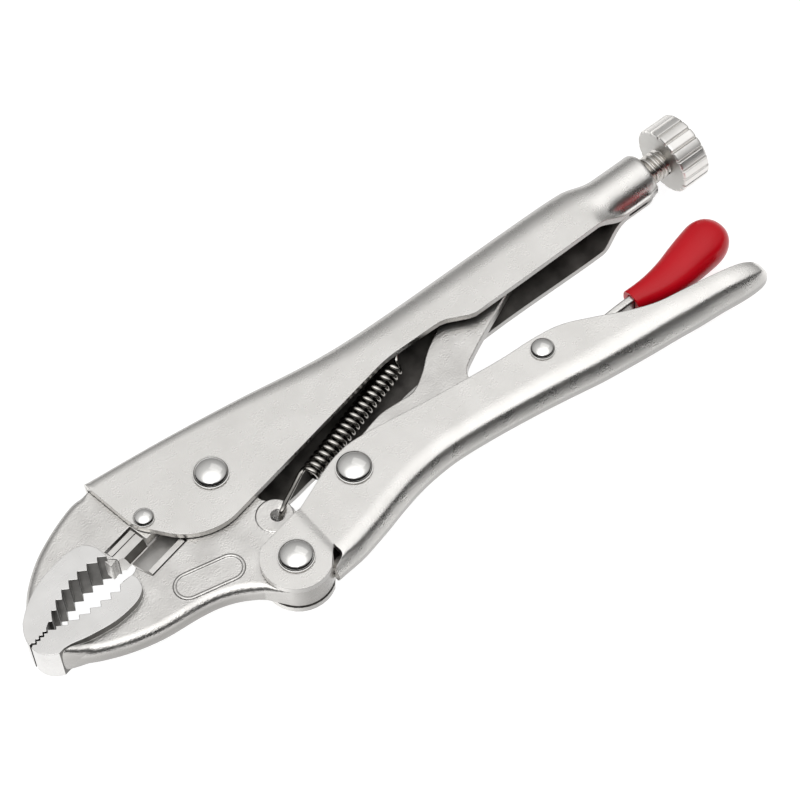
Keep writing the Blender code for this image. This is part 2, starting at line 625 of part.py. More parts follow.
def main():
    clear_scene()
    nickel = finish_material("satin_nickel", (0.72, 0.71, 0.69), 0.32, 1.0)
    ground = finish_material("ground_steel", (0.76, 0.75, 0.73), 0.25, 1.0)
    polished = finish_material("polished_nickel", (0.82, 0.81, 0.79), 0.12, 1.0)
    spring_steel = finish_material("spring_steel", (0.25, 0.24, 0.23), 0.3, 1.0)
    vinyl = finish_material("red_vinyl", (0.62, 0.01, 0.03), 0.25, 0.0)

    root = pivot("pliers", (0, 0))
    jaw_axis = pivot("jaw_axis", JAW_PIVOT, root)
    handle_axis = pivot("handle_axis", HANDLE_PIVOT, root)
    link_axis = pivot("link_axis", LINK_PIVOT, root)
    lever_axis = pivot("lever_axis", LEVER_PIVOT, root)
    slide_axis = pivot("slide_axis", (SCREW_TIP, SCREW_Y), root)
    turn_axis = pivot("turn_axis", (KNOB_START, SCREW_Y), root)

    make_upper_handle(root, nickel)
    make_fixed_jaw(root, nickel)
    cutter_insert("upper_cutter", 1, *UPPER_CUTTER, root, ground)
    make_rivet("jaw_pivot_rivet", JAW_PIVOT, MAIN_RIVET, UPPER_HALF, root, polished)
    make_rivet("fixed_jaw_rivet", FIXED_RIVET, FIXED_JAW_RIVET, UPPER_HALF, root, polished)
    make_spring(root, spring_steel)

    make_lower_jaw(jaw_axis, nickel)
    cutter_insert("lower_cutter", -1, *LOWER_CUTTER, jaw_axis, ground)

    make_lower_handle(handle_axis, nickel)
    make_rivet("handle_pivot_rivet", HANDLE_PIVOT, MAIN_RIVET, LOBE_HALF, handle_axis, polished)
    make_rivet("link_pivot_rivet", LINK_PIVOT, MAIN_RIVET, LOWER_HALF, handle_axis, polished)
    make_rivet("lever_pivot_rivet", LEVER_PIVOT, LEVER_RIVET, LOWER_HALF + 0.4, handle_axis, polished)
    make_toggle_link(link_axis, nickel)

    make_release_lever(lever_axis, nickel)
    make_lever_grip(lever_axis, vinyl)
    make_screw(slide_axis, turn_axis, polished, polished)
    stand_on_origin(root)


main()
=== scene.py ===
# Locking pliers lying on a pale floor: nickel-plated sheet handles, forged jaws, an adjusting
# screw and a red dipped grip. Sizes are millimetres from the jaw pivot, on the tool's mid-plane.

import math

import bmesh
import bpy
from mathutils import Matrix, Vector


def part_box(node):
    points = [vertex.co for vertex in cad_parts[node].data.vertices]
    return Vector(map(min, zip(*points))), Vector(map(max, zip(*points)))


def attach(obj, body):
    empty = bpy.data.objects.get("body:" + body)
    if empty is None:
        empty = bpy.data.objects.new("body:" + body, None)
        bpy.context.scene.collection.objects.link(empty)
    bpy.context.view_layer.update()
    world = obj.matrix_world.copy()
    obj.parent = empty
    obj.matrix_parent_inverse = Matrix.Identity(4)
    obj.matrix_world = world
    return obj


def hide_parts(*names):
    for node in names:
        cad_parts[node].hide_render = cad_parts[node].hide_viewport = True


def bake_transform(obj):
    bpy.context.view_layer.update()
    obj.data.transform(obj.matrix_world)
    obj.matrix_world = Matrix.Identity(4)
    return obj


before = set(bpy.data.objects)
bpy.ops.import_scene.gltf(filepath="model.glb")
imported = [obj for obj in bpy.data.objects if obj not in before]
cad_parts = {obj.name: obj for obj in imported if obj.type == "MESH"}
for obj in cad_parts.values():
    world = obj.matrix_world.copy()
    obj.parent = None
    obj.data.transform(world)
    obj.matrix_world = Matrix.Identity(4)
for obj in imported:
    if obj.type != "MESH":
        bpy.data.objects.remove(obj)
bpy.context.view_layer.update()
pivotLow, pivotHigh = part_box("jaw_pivot_rivet")
jawPivot = (pivotLow + pivotHigh) / 2
mm = 0.001
sheet = 1.5


# Points on an arc between two angles in degrees.
def arcPoints(centre, radius, start, end, step=5.0):
    count = max(2, math.ceil(abs(end - start) / step))
    turns = [math.radians(start + (end - start) * i / count) for i in range(count + 1)]
    return [(centre[0] + radius * math.cos(t), centre[1] + radius * math.sin(t)) for t in turns]


# A smooth curve through the points, in any number of dimensions.
def curveThrough(points, per=8):
    ends = [points[0]] + list(points) + [points[-1]]
    curve = []
    for a, b, c, d in zip(ends, ends[1:], ends[2:], ends[3:]):
        for i in range(per):
            t = i / per
            curve.append(tuple(
                0.5 * (2 * q + (r - p) * t + (2 * p - 5 * q + 4 * r - s) * t * t
                       + (3 * q - p - 3 * r + s) * t ** 3)
                for p, q, r, s in zip(a, b, c, d)))
    return curve + [tuple(points[-1])]


# An open path whose inner corners (x, y, radius) are turned into arcs.
def filletPath(corners, step=5.0):
    path = [tuple(corners[0][:2])]
    for before, corner, after in zip(corners, corners[1:], corners[2:]):
        here = Vector(corner[:2])
        back = (Vector(before[:2]) - here).normalized()
        on = (Vector(after[:2]) - here).normalized()
        half = back.angle(on) / 2
        centre = here + (back + on).normalized() * corner[2] / math.sin(half)
        first = here + back * corner[2] / math.tan(half) - centre
        last = here + on * corner[2] / math.tan(half) - centre
        sweep = first.angle_signed(last)
        count = max(2, math.ceil(math.degrees(abs(sweep)) / step))
        path += [tuple(centre + Matrix.Rotation(-sweep * k / count, 2) @ first)
                 for k in range(count + 1)]
    return path + [tuple(corners[-1][:2])]


def pathLength(path):
    return sum(math.dist(a, b) for a, b in zip(path, path[1:]))


# The point at a share of the path's length.
def alongPath(path, share):
    left = share * pathLength(path)
    for a, b in zip(path, path[1:]):
        step = math.dist(a, b)
        if left <= step:
            return tuple(p + (q - p) * left / max(step, 1e-9) for p, q in zip(a, b))
        left -= step
    return tuple(path[-1])


# The y of a path at x.
def heightAt(path, x):
    for a, b in zip(path, path[1:]):
        if a[0] <= x <= b[0]:
            return a[1] + (b[1] - a[1]) * (x - a[0]) / max(b[0] - a[0], 1e-9)
    return path[-1][1]


# The values of a table of rows (x, ...) at x, along a smooth curve.
def rowAt(rows, x):
    for i in range(len(rows) - 1):
        if x <= rows[i + 1][0] or i == len(rows) - 2:
            break
    a, b = rows[i], rows[i + 1]
    before, after = rows[max(i - 1, 0)], rows[min(i + 2, len(rows) - 1)]
    span = b[0] - a[0]
    t = min(max((x - a[0]) / span, 0), 1)
    values = []
    for p, q, r, s in zip(before[1:], a[1:], b[1:], after[1:]):
        slopeIn = (r - p) / max(b[0] - before[0], 1e-9) * span
        slopeOut = (s - q) / max(after[0] - a[0], 1e-9) * span
        values.append((2 * t ** 3 - 3 * t ** 2 + 1) * q + (t ** 3 - 2 * t ** 2 + t) * slopeIn
                      + (3 * t ** 2 - 2 * t ** 3) * r + (t ** 3 - t ** 2) * slopeOut)
    return values


def steps(low, high, size):
    count = max(1, round((high - low) / size))
    return [low + (high - low) * i / count for i in range(count + 1)]


# The places along x that rows of (from, to, gap) ask for.
def stationsOf(rows):
    return [rows[0][0]] + [x for row in rows for x in steps(*row)[1:]]


# 0 below low, 1 above high, and smooth between.
def ease(value, low, high):
    t = min(max((value - low) / (high - low), 0), 1)
    return t * t * (3 - 2 * t)


def addObject(name, data):
    holder = bpy.data.objects.new(name, data)
    bpy.context.scene.collection.objects.link(holder)
    return holder


# Turn the faces of a closed skin outward.
def faceOutward(builder):
    bmesh.ops.recalc_face_normals(builder, faces=builder.faces)
    if builder.calc_volume(signed=True) < 0:
        bmesh.ops.reverse_faces(builder, faces=builder.faces)


# A smooth object from mesh data in millimetres from the jaw pivot.
def placeMesh(name, builder, materials):
    bmesh.ops.scale(builder, vec=(mm, mm, mm), verts=builder.verts)
    bmesh.ops.translate(builder, vec=jawPivot, verts=builder.verts)
    mesh = bpy.data.meshes.new(name)
    builder.to_mesh(mesh)
    builder.free()
    mesh.shade_smooth()
    for material in materials:
        mesh.materials.append(material)
    return addObject(name, mesh)


def addPiece(name, builder, *materials):
    faceOutward(builder)
    return placeMesh(name, builder, materials)


# Turn a piece's modifiers into its own plain mesh.
def bake(piece):
    graph = bpy.context.evaluated_depsgraph_get()
    mesh = bpy.data.meshes.new_from_object(
        piece.evaluated_get(graph), preserve_all_data_layers=True, depsgraph=graph)
    piece.modifiers.clear()
    piece.data = mesh
    return piece


def modify(piece, kind, **settings):
    modifier = piece.modifiers.new(kind, kind)
    for key, value in settings.items():
        setattr(modifier, key, value)
    return bake(piece)


def roundEdges(piece, width, angle=32, segments=3):
    return modify(piece, "BEVEL", width=width * mm, segments=segments, limit_method="ANGLE",
                  angle_limit=math.radians(angle), use_clamp_overlap=True, miter_outer="MITER_ARC")


# Shade flat faces flat right up to their rounded edges.
def flatNormals(piece):
    return modify(piece, "WEIGHTED_NORMAL", mode="FACE_AREA_WITH_ANGLE", keep_sharp=True)


# Cut the tool from the piece, and throw the tool away.
def carve(piece, tool):
    modify(piece, "BOOLEAN", object=tool, operation="DIFFERENCE", solver="EXACT")
    bpy.data.objects.remove(tool)
    return piece


# Several pieces as one mesh that keeps each one's materials.
def gather(name, parts):
    mesh = bpy.data.meshes.new(name)
    builder = bmesh.new()
    for part in parts:
        done = len(builder.faces)
        builder.from_mesh(part.data)
        builder.faces.ensure_lookup_table()
        for face in builder.faces[done:]:
            face.material_index += len(mesh.materials)
        for material in part.data.materials:
            mesh.materials.append(material)
        bpy.data.objects.remove(part)
    builder.to_mesh(mesh)
    builder.free()
    return addObject(name, mesh)


# An outline standing from low to high, whose marked sides have a second material.
def prism(name, outline, low, high, material=None, marked=(), second=None):
    builder = bmesh.new()
    bottom = [builder.verts.new((x, y, low)) for x, y in outline]
    top = [builder.verts.new((x, y, high)) for x, y in outline]
    builder.faces.new(bottom)
    builder.faces.new(top)
    for i in range(len(outline)):
        j = (i + 1) % len(outline)
        side = builder.faces.new((bottom[i], bottom[j], top[j], top[i]))
        side.material_index = 1 if i in marked else 0
    return addPiece(name, builder, *[m for m in (material, second) if m])


rimSteps = 5


# A plate whose rim is rounded by rim(x, y) at each point of its outline.
def forging(name, outline, half, rim, material):
    points = [Vector(point) for point in outline]
    points = [p for p, q in zip(points, points[1:] + points[:1]) if (p - q).length > 0.02]
    turn = sum(p.cross(q) for p, q in zip(points, points[1:] + points[:1]))
    inward = []
    for before, here, after in zip(points[-1:] + points[:-1], points, points[1:] + points[:1]):
        first, second = (here - before).normalized(), (after - here).normalized()
        across = (first + second).normalized().orthogonal() * math.copysign(1, turn)
        inward.append(across / max(first.orthogonal().dot(across) * math.copysign(1, turn), 0.6))
    radii = [rim(*point) for point in points]
    rings = []
    for side in (-1, 1):
        for level in range(rimSteps + 1)[::side]:
            angle = math.pi / 2 * level / rimSteps
            out, up = 1 - math.cos(angle), 1 - math.sin(angle)
            rings.append([(*(p + n * r * out), side * (half - r * up))
                          for p, n, r in zip(points, inward, radii)])
    return loft(name, rings, material)


# A skin over rings with equal counts of points, with flat ends if it is closed.
def loft(name, loops, material=None, closed=True):
    builder = bmesh.new()
    rings = [[builder.verts.new(point) for point in loop] for loop in loops]
    for first, second in zip(rings, rings[1:]):
        for i in range(len(first)):
            j = (i + 1) % len(first)
            builder.faces.new((first[i], first[j], second[j], second[i]))
    if closed:
        builder.faces.new(rings[0])
        builder.faces.new(rings[-1])
    return addPiece(name, builder, *([material] if material else []))


# A round hole right through the tool.
def drill(piece, centre, radius):
    hole = prism("hole", arcPoints(centre, radius, 0, 352, 8), -12, 12)
    return carve(piece, hole)


def finishPiece(piece, body, slot, *nodes):
    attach(piece, body)
    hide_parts(*nodes)
    print("made", piece.name, len(piece.data.polygons))
    return piece


# Set a node's inputs to values, or link them to sockets.
def setInputs(tree, node, values):
    for key, value in values.items():
        value = value.socket if isinstance(value, Number) else value
        if isinstance(value, bpy.types.NodeSocket):
            tree.links.new(value, node.inputs[key])
        else:
            node.inputs[key].default_value = value
    return node


def addNode(tree, kind, values=None, **settings):
    node = tree.nodes.new(kind)
    for key, value in settings.items():
        setattr(node, key, value)
    return setInputs(tree, node, values or {})


# Map a value from one range to another one, and stay at its ends beyond them.
def addRange(tree, value, low, high, fromLow=0.3, fromHigh=0.7):
    return addNode(tree, "ShaderNodeMapRange", {
        "Value": value, "From Min": fromLow, "From Max": fromHigh,
        "To Min": low, "To Max": high}).outputs[0]


# A number in a node tree. Arithmetic on it adds Math nodes.
class Number:
    def __init__(self, tree, socket):
        self.tree, self.socket = tree, socket

    def combine(self, operation, *others, clamp=False):
        node = addNode(self.tree, "ShaderNodeMath", dict(enumerate((self, *others))),
                       operation=operation, use_clamp=clamp)
        return Number(self.tree, node.outputs[0])

    def __add__(self, other):
        return self.combine("ADD", other)

    def __sub__(self, other):
        return self.combine("SUBTRACT", other)

    def __mul__(self, other):
        return self.combine("MULTIPLY", other)

    def __truediv__(self, other):
        return self.combine("DIVIDE", other)

    # The number from 0 to 1.
    def clamped(self):
        return self.combine("ADD", 0.0, clamp=True)

    def between(self, fromLow, fromHigh, low, high):
        return Number(self.tree, addRange(self.tree, self, low, high, fromLow, fromHigh))


# A Geometry Nodes tree with named sizes that ends in Realize Instances and Set Material.
class ShapeTree:
    def __init__(self, name, sizes):
        self.tree = bpy.data.node_groups.new(name, "GeometryNodeTree")
        self.addSocket("Geometry", "INPUT", "Geometry")
        for size, start in sizes.items():
            kind = "Int" if isinstance(start, int) else "Float"
            self.addSocket(size, "INPUT", kind).default_value = start
        self.addSocket("Geometry", "OUTPUT", "Geometry")
        self.start = self.add("NodeGroupInput")

    def addSocket(self, name, way, kind):
        return self.tree.interface.new_socket(name, in_out=way, socket_type="NodeSocket" + kind)

    def size(self, name):
        return Number(self.tree, self.start.outputs[name])

    def add(self, kind, values=None, **settings):
        return addNode(self.tree, kind, values, **settings)

    # A grid whose point at shares (u, v) goes to place(u, v); the seam at v = 1 is merged.
    def surface(self, across, around, place):
        grid = self.add("GeometryNodeMeshGrid", {
            "Size X": 1.0, "Size Y": 1.0, "Vertices X": across, "Vertices Y": around})
        split = self.add("ShaderNodeSeparateXYZ", {
            0: self.add("GeometryNodeInputPosition").outputs[0]})
        u = Number(self.tree, split.outputs[0]) + 0.5
        v = Number(self.tree, split.outputs[1]) + 0.5
        x, y, z = place(u, v)
        joined = self.add("ShaderNodeCombineXYZ", {0: x, 1: y, 2: z})
        moved = self.add("GeometryNodeSetPosition", {
            "Geometry": grid.outputs["Mesh"], "Position": joined.outputs[0]})
        merged = self.add("GeometryNodeMergeByDistance", {
            "Geometry": moved.outputs[0], "Distance": 1e-6})
        return merged.outputs[0]

    def close(self, geometry, material):
        smooth = self.add("GeometryNodeSetShadeSmooth", {"Geometry": geometry})
        real = self.add("GeometryNodeRealizeInstances", {"Geometry": smooth.outputs[0]})
        coloured = self.add("GeometryNodeSetMaterial", {
            "Geometry": real.outputs[0], "Material": material})
        self.add("NodeGroupOutput", {0: coloured.outputs[0]})
        return self.tree

    # The skin turned about an axis from place(u, v): how far along the axis, and the radius there.
    def turned(self, place, axis, material):
        def spun(u, v):
            along, radius = place(u, v)
            spin = v * (2 * math.pi)
            across, up = radius * spin.combine("COSINE"), radius * spin.combine("SINE")
            return (along, across, up) if axis == "X" else (across, up, along)

        skin = self.surface(self.size("rings"), self.size("sides"), spun)
        return self.close(skin, material)


# A piece made by a Geometry Nodes tree with these sizes, in metres about the jaw pivot.
def grow(name, tree, sizes, data=None, turn=None):
    piece = addObject(name, data or bpy.data.meshes.new(name))
    modifier = piece.modifiers.new("shape", "NODES")
    modifier.node_group = tree
    for item in tree.interface.items_tree:
        if item.in_out == "INPUT" and item.name in sizes:
            modifier[item.identifier] = sizes[item.name]
    graph = bpy.context.evaluated_depsgraph_get()
    mesh = bpy.data.meshes.new_from_object(piece.evaluated_get(graph), depsgraph=graph)
    bpy.data.objects.remove(piece)
    mesh.transform(Matrix.Translation(jawPivot) @ (turn or Matrix()))
    builder = bmesh.new()
    builder.from_mesh(mesh)
    faceOutward(builder)
    builder.to_mesh(mesh)
    builder.free()
    return addObject(name, mesh)


def shift(x, y, z=0.0):
    return Matrix.Translation(Vector((x, y, z)) * mm)


def startMaterial(name):
    material = bpy.data.materials.new(name)
    material.use_nodes = True
    tree = material.node_tree
    return material, tree, tree.nodes["Principled BSDF"]


# Noise on the object's own coordinates.
def addNoise(tree, scale, detail, stretch=(1.0, 1.0, 1.0)):
    place = addNode(tree, "ShaderNodeTexCoord")
    mapping = addNode(tree, "ShaderNodeMapping", {
        "Vector": place.outputs["Object"], "Scale": stretch})
    return addNode(tree, "ShaderNodeTexNoise", {
        "Vector": mapping.outputs[0], "Scale": scale, "Detail": detail}).outputs[0]


def addMix(tree, share, first, second):
    first, second = (colour if isinstance(colour, bpy.types.NodeSocket) else (*colour, 1.0)
                     for colour in (first, second))
    return addNode(tree, "ShaderNodeMix", {"Factor": share, "A": first, "B": second},
                   data_type="RGBA").outputs["Result"]


def addBump(tree, height, strength, distance, normal=None):
    bump = addNode(tree, "ShaderNodeBump", {
        "Height": height, "Strength": strength, "Distance": distance})
    return setInputs(tree, bump, {"Normal": normal} if normal else {}).outputs[0]


# Painted shade: mix a colour towards a darker one on faces that stand upright.
def paintWallShade(tree, colour, level):
    shape = addNode(tree, "ShaderNodeNewGeometry")
    split = addNode(tree, "ShaderNodeSeparateXYZ", {0: shape.outputs["True Normal"]})
    upright = addNode(tree, "ShaderNodeMath", {0: split.outputs["Z"]}, operation="ABSOLUTE")
    return addMix(tree, addRange(tree, upright.outputs[0], 1.0, 0.0, 0.25, 0.86), colour, level)


# Painted shade: mix a colour towards a darker one on faces that look along a direction.
def paintSideShade(tree, colour, level, direction):
    shape = addNode(tree, "ShaderNodeNewGeometry")
    lean = addNode(tree, "ShaderNodeVectorMath", {0: shape.outputs["Normal"], 1: direction},
                   operation="DOT_PRODUCT")
    return addMix(tree, addRange(tree, lean.outputs["Value"], 0.0, 1.0, 0.5, 0.9), colour, level)


# Painted shade: mix a colour towards a darker one below a height, in millimetres from the mid-plane.
def paintDepthShade(tree, colour, level, low, high):
    place = addNode(tree, "ShaderNodeTexCoord")
    split = addNode(tree, "ShaderNodeSeparateXYZ", {0: place.outputs["Object"]})
    low, high = jawPivot.z + low * mm, jawPivot.z + high * mm
    return addMix(tree, addRange(tree, split.outputs["Z"], 1.0, 0.0, low, high), colour, level)


grainDepth, dentDepth = 0.07 * mm, 0.2 * mm


# What a look doesn't say. Scales are per metre, and sides lists (painted shade colour, direction).
plainLook = {"cloudScale": 200.0, "edge": 0.08, "grainScale": 2400.0, "grain": 0.10,
             "stretch": (1.0, 1.0, 1.0), "dentScale": 400.0, "dents": 0.04, "sides": []}


# Nickel plating: soft cloudiness, a fine grain and rounded-looking edges, with painted shade on
# walls, sides or low parts where a look asks for it.
def plated(name, look):
    look = {**plainLook, **look}
    material, tree, shader = startMaterial(name)
    clouds = addRange(tree, addNoise(tree, look["cloudScale"], 3.0), 0.0, 1.0)
    skin = addMix(tree, clouds, look["dark"], look["bright"])
    if "walls" in look:
        skin = paintWallShade(tree, skin, look["walls"])
    for level, direction in look["sides"]:
        skin = paintSideShade(tree, skin, level, direction)
    if "depth" in look:
        skin = paintDepthShade(tree, skin, *look["depth"])
    rough = addNoise(tree, look["cloudScale"] * 2.3, 4.0)
    edge = addNode(tree, "ShaderNodeBevel", {"Radius": look["edge"] * mm}, samples=4)
    grain = addNoise(tree, look["grainScale"], 2.0, look["stretch"])
    normal = addBump(tree, grain, look["grain"], grainDepth, edge.outputs[0])
    dents = addNoise(tree, look["dentScale"], 3.0)
    setInputs(tree, shader, {
        "Metallic": 1.0, "Base Color": skin, "Roughness": addRange(tree, rough, *look["roughness"]),
        "Normal": addBump(tree, dents, look["dents"], dentDepth, normal)})
    return material


# Its sides paint shade on the sheet's faces that look across the tool, to the front and to the back.
satinNickel = plated("satinNickel", {
    "dark": (0.70, 0.685, 0.66), "bright": (0.76, 0.745, 0.72), "cloudScale": 140.0,
    "roughness": (0.25, 0.31), "edge": 0.25, "grainScale": 3600.0, "grain": 0.65,
    "dentScale": 520.0,
    "sides": [((0.38, 0.372, 0.36), (0.0, -0.94, -0.34)),
              ((0.44, 0.43, 0.415), (0.0, 0.94, 0.34))]})
# Its sides paint shade on the forged rims that look across the tool, to the front and to the back.
forgedNickel = plated("forgedNickel", {
    "dark": (0.60, 0.585, 0.565), "bright": (0.74, 0.725, 0.70), "cloudScale": 160.0,
    "roughness": (0.25, 0.33), "edge": 0.2, "grainScale": 2800.0, "grain": 0.9,
    "dentScale": 420.0, "dents": 0.12,
    "sides": [((0.32, 0.31, 0.297), (0.0, -0.94, -0.34)),
              ((0.36, 0.35, 0.335), (0.0, 0.94, 0.34))]})
groundSteel = plated("groundSteel", {
    "dark": (0.70, 0.69, 0.675), "bright": (0.80, 0.79, 0.775), "cloudScale": 120.0,
    "roughness": (0.24, 0.32), "grainScale": 1500.0, "stretch": (0.25, 3.0, 1.0),
    "dentScale": 300.0, "dents": 0.02})
# Painted shade: a near-black steel for tooth flanks, pad walls and a cutter's bevel, in place of
# their shade.
toothShade = plated("toothShade", {
    "dark": (0.08, 0.077, 0.072), "bright": (0.15, 0.145, 0.137), "cloudScale": 220.0,
    "roughness": (0.30, 0.42), "edge": 0.05, "grainScale": 1500.0, "grain": 0.3,
    "stretch": (3.0, 3.0, 0.3), "dentScale": 300.0, "dents": 0.02})
# Its walls paints shade on upright faces, a dark ring round each rivet head.
brightNickel = plated("brightNickel", {
    "dark": (0.74, 0.73, 0.71), "bright": (0.80, 0.79, 0.77), "roughness": (0.09, 0.15),
    "edge": 0.03, "grainScale": 2200.0, "grain": 0.08, "dentScale": 500.0, "dents": 0.08,
    "walls": (0.22, 0.21, 0.20)})
# Its sides paint shade on the thread's faces that look down.
turnedNickel = plated("turnedNickel", {
    "dark": (0.52, 0.50, 0.47), "bright": (0.64, 0.62, 0.59), "roughness": (0.20, 0.28),
    "grain": 0.12, "sides": [((0.16, 0.145, 0.135), (-0.1, -0.6, -0.79))]})
# Its sides paint shade on the knob's faces that look towards the jaws and down.
knurledNickel = plated("knurledNickel", {
    "dark": (0.74, 0.725, 0.70), "bright": (0.82, 0.805, 0.78), "roughness": (0.34, 0.42),
    "sides": [((0.50, 0.49, 0.47), (-0.9, 0.0, -0.43))]})
cutterSteel = plated("cutterSteel", {
    "dark": (0.66, 0.645, 0.62), "bright": (0.80, 0.785, 0.76), "cloudScale": 260.0,
    "roughness": (0.42, 0.52), "edge": 0.06, "grainScale": 1800.0, "grain": 0.15,
    "stretch": (0.4, 3.0, 1.0), "dentScale": 300.0, "dents": 0.05})
# Its depth paints shade on the coil below the mid-plane, the turns at the back.
springSteel = plated("springSteel", {
    "dark": (0.40, 0.385, 0.36), "bright": (0.54, 0.52, 0.49), "cloudScale": 300.0,
    "roughness": (0.13, 0.20), "edge": 0.02, "grainScale": 3000.0, "dentScale": 700.0,
    "dents": 0.03, "depth": ((0.05, 0.048, 0.045), -0.9, 0.6)})


# Painted shade: a dark steel for the unlit inside of a channel, in place of its shade.
def shadedSteel():
    material, tree, shader = startMaterial("shadedSteel")
    clouds = addNoise(tree, 220.0, 4.0)
    setInputs(tree, shader, {
        "Metallic": 0.75,
        "Base Color": addMix(tree, addRange(tree, clouds, 0.0, 1.0),
                             (0.055, 0.051, 0.047), (0.14, 0.132, 0.122)),
        "Roughness": addRange(tree, clouds, 0.45, 0.65),
        "Normal": addBump(tree, clouds, 0.2, 0.1 * mm)})
    return material


# Soft red vinyl with a wet-looking skin and faint waves from dipping.
def dippedVinyl():
    material, tree, shader = startMaterial("dippedVinyl")
    clouds = addNoise(tree, 70.0, 2.0)
    setInputs(tree, shader, {
        "Base Color": addMix(tree, addRange(tree, clouds, 0.0, 1.0),
                             (0.54, 0.001, 0.008), (0.66, 0.002, 0.012)),
        "Roughness": addRange(tree, clouds, 0.30, 0.38),
        "Coat Weight": 0.22, "Coat Roughness": 0.16, "Specular IOR Level": 0.2,
        "Subsurface Weight": 0.08, "Subsurface Radius": (0.002, 0.0004, 0.0003),
        "Normal": addBump(tree, addNoise(tree, 900.0, 2.0), 0.06, 0.05 * mm)})
    return material


channelShade = shadedSteel()
redVinyl = dippedVinyl()
print("made materials")


# Folded sheet from grids of outside points; thin(x) is the share of the thickness there.
def sheetPiece(name, patches, thickness, rim, thin=None):
    builder = bmesh.new()
    for rows in patches:
        grid = [[builder.verts.new(point) for point in row] for row in rows]
        for first, second in zip(grid, grid[1:]):
            for i in range(len(first) - 1):
                builder.faces.new((first[i], first[i + 1], second[i + 1], second[i]))
    bmesh.ops.remove_doubles(builder, verts=builder.verts, dist=0.002)
    bmesh.ops.recalc_face_normals(builder, faces=builder.faces)
    highest = max(builder.faces, key=lambda face: face.calc_center_median().z)
    if highest.normal.z < 0:
        bmesh.ops.reverse_faces(builder, faces=builder.faces)
    shares = [1.0 if thin is None else thin(vertex.co.x) for vertex in builder.verts]
    # The second material, channelShade, is painted shade for the inner faces that the solidify step
    # makes.
    piece = placeMesh(name, builder, (satinNickel, channelShade))
    group = piece.vertex_groups.new(name="wall")
    for index, share in enumerate(shares):
        group.add([index], share, "REPLACE")
    modify(piece, "SOLIDIFY", thickness=thickness * mm, offset=-1, vertex_group="wall",
           material_offset=1, material_offset_rim=0)
    return roundEdges(piece, rim, angle=50, segments=3)


bendSteps, edgeRoom = 4, 0.6


# Half a folded section from the spine's middle to the free edge.
# bends lists (tilt, length): the face's tilt in degrees at each step away from the spine,
# from 90 across the spine to 0 on the wall.
def foldHalf(spine, edge, half, bends, counts, sign):
    x, y = spine
    path = [(0.0, 0.0)]
    for (tilt, _), (following, length) in zip(bends, bends[1:]):
        for i in range(bendSteps):
            angle = math.radians(tilt + (following - tilt) * (i + 0.5) / bendSteps)
            across, down = path[-1]
            path.append((across + length / bendSteps * math.sin(angle),
                         down + length / bendSteps * math.cos(angle)))
    room = abs(edge[1] - y) - edgeRoom
    across, down = half / path[-1][0], min(half / path[-1][0], room / path[-1][1])
    points = [(x, y - sign * d * down, a * across) for a, d in path]
    start = points[-1][1]
    for i in range(1, counts + 1):
        t = i / counts
        points.append((x + (edge[0] - x) * t, start + (edge[1] - start) * t, half))
    return points


# Two half sections that share the spine's middle, as one row from the far edge to the near one.
def wholeFold(near, far):
    return [(x, y, -z) for x, y, z in reversed(far[1:])] + list(near)


upperHandleSize = {
    # x, height of the spine, half width
    "spine": [(-20.6, 15.25, 4.6), (-8, 14.05, 4.6), (4, 12.7, 4.6), (16, 11.2, 4.6), (26, 9.7, 4.6),
              (34, 8.75, 4.6), (42, 8.3, 4.6), (52, 8.2, 4.6), (64, 8.2, 4.6), (78, 8.25, 4.65),
              (88, 8.2, 4.8), (94, 8.05, 4.95), (99, 7.6, 5.05), (104, 6.5, 5.2), (108, 6.2, 5.2),
              (114, 6.2, 5.2)],
    # the spine's bends at the front and at the rear
    "frontBends": [(90, 0), (90, 2.2), (62, 1.0), (42, 0.8), (18, 0.7), (6, 0.8), (0, 0.5)],
    "rearBends": [(90, 0), (90, 1.0), (66, 1.2), (46, 1.6), (28, 1.8), (12, 2.6), (0, 2.4)],
    # x, how much lower the far wall reaches than the near one
    "farWall": [(2, 0.0), (9, 2.8), (18, 3.4), (27, 5.0), (38, 5.6), (47, 5.0), (57, 2.4), (66, 1.5),
                (98, 1.4), (106, 0.0)],
    "edge": [(-20.6, 12.6, 0), (-18.9, 0.4, 7), (-9.5, -12.2, 13.5), (43, -1.7, 25),
             (57.5, -1.9, 5), (63.4, -5.0, 4), (116, -4.9, 0)],
    "stations": [(-20.6, 8.0, 0.9), (8.0, 96, 1.4), (96, 112, 0.7), (112, 113.8, 0.2)],
    "startX": -20.6, "frontEnd": 8.0, "rearFrom": -5, "rearTo": 60,
    "tubeFrom": 96.5, "tubeTo": 104.5, "tubeRadius": 5.2, "tubeY": 1.0, "tubeEnd": 113.8,
    # the rolled lip at the tube's mouth, and the pinched seam below the tube
    "lip": 1.1, "lipRoll": 0.75, "seamTurn": 157, "finY": -5.0, "finHalf": 1.15, "finRows": 6,
    "finRise": 1.1, "finRiseFrom": 110.5, "finRiseTo": 113.4,
    # the tab that holds the spring's hook
    "tab": [(48.0, 7.6), (47.8, 2.6), (48.4, 1.2), (49.6, 0.7), (50.6, 1.2), (51.2, 2.6),
            (51.0, 7.6)],
    "tabHole": (49.5, 2.2), "tabHoleRadius": 0.8, "tabHalf": 0.7,
}


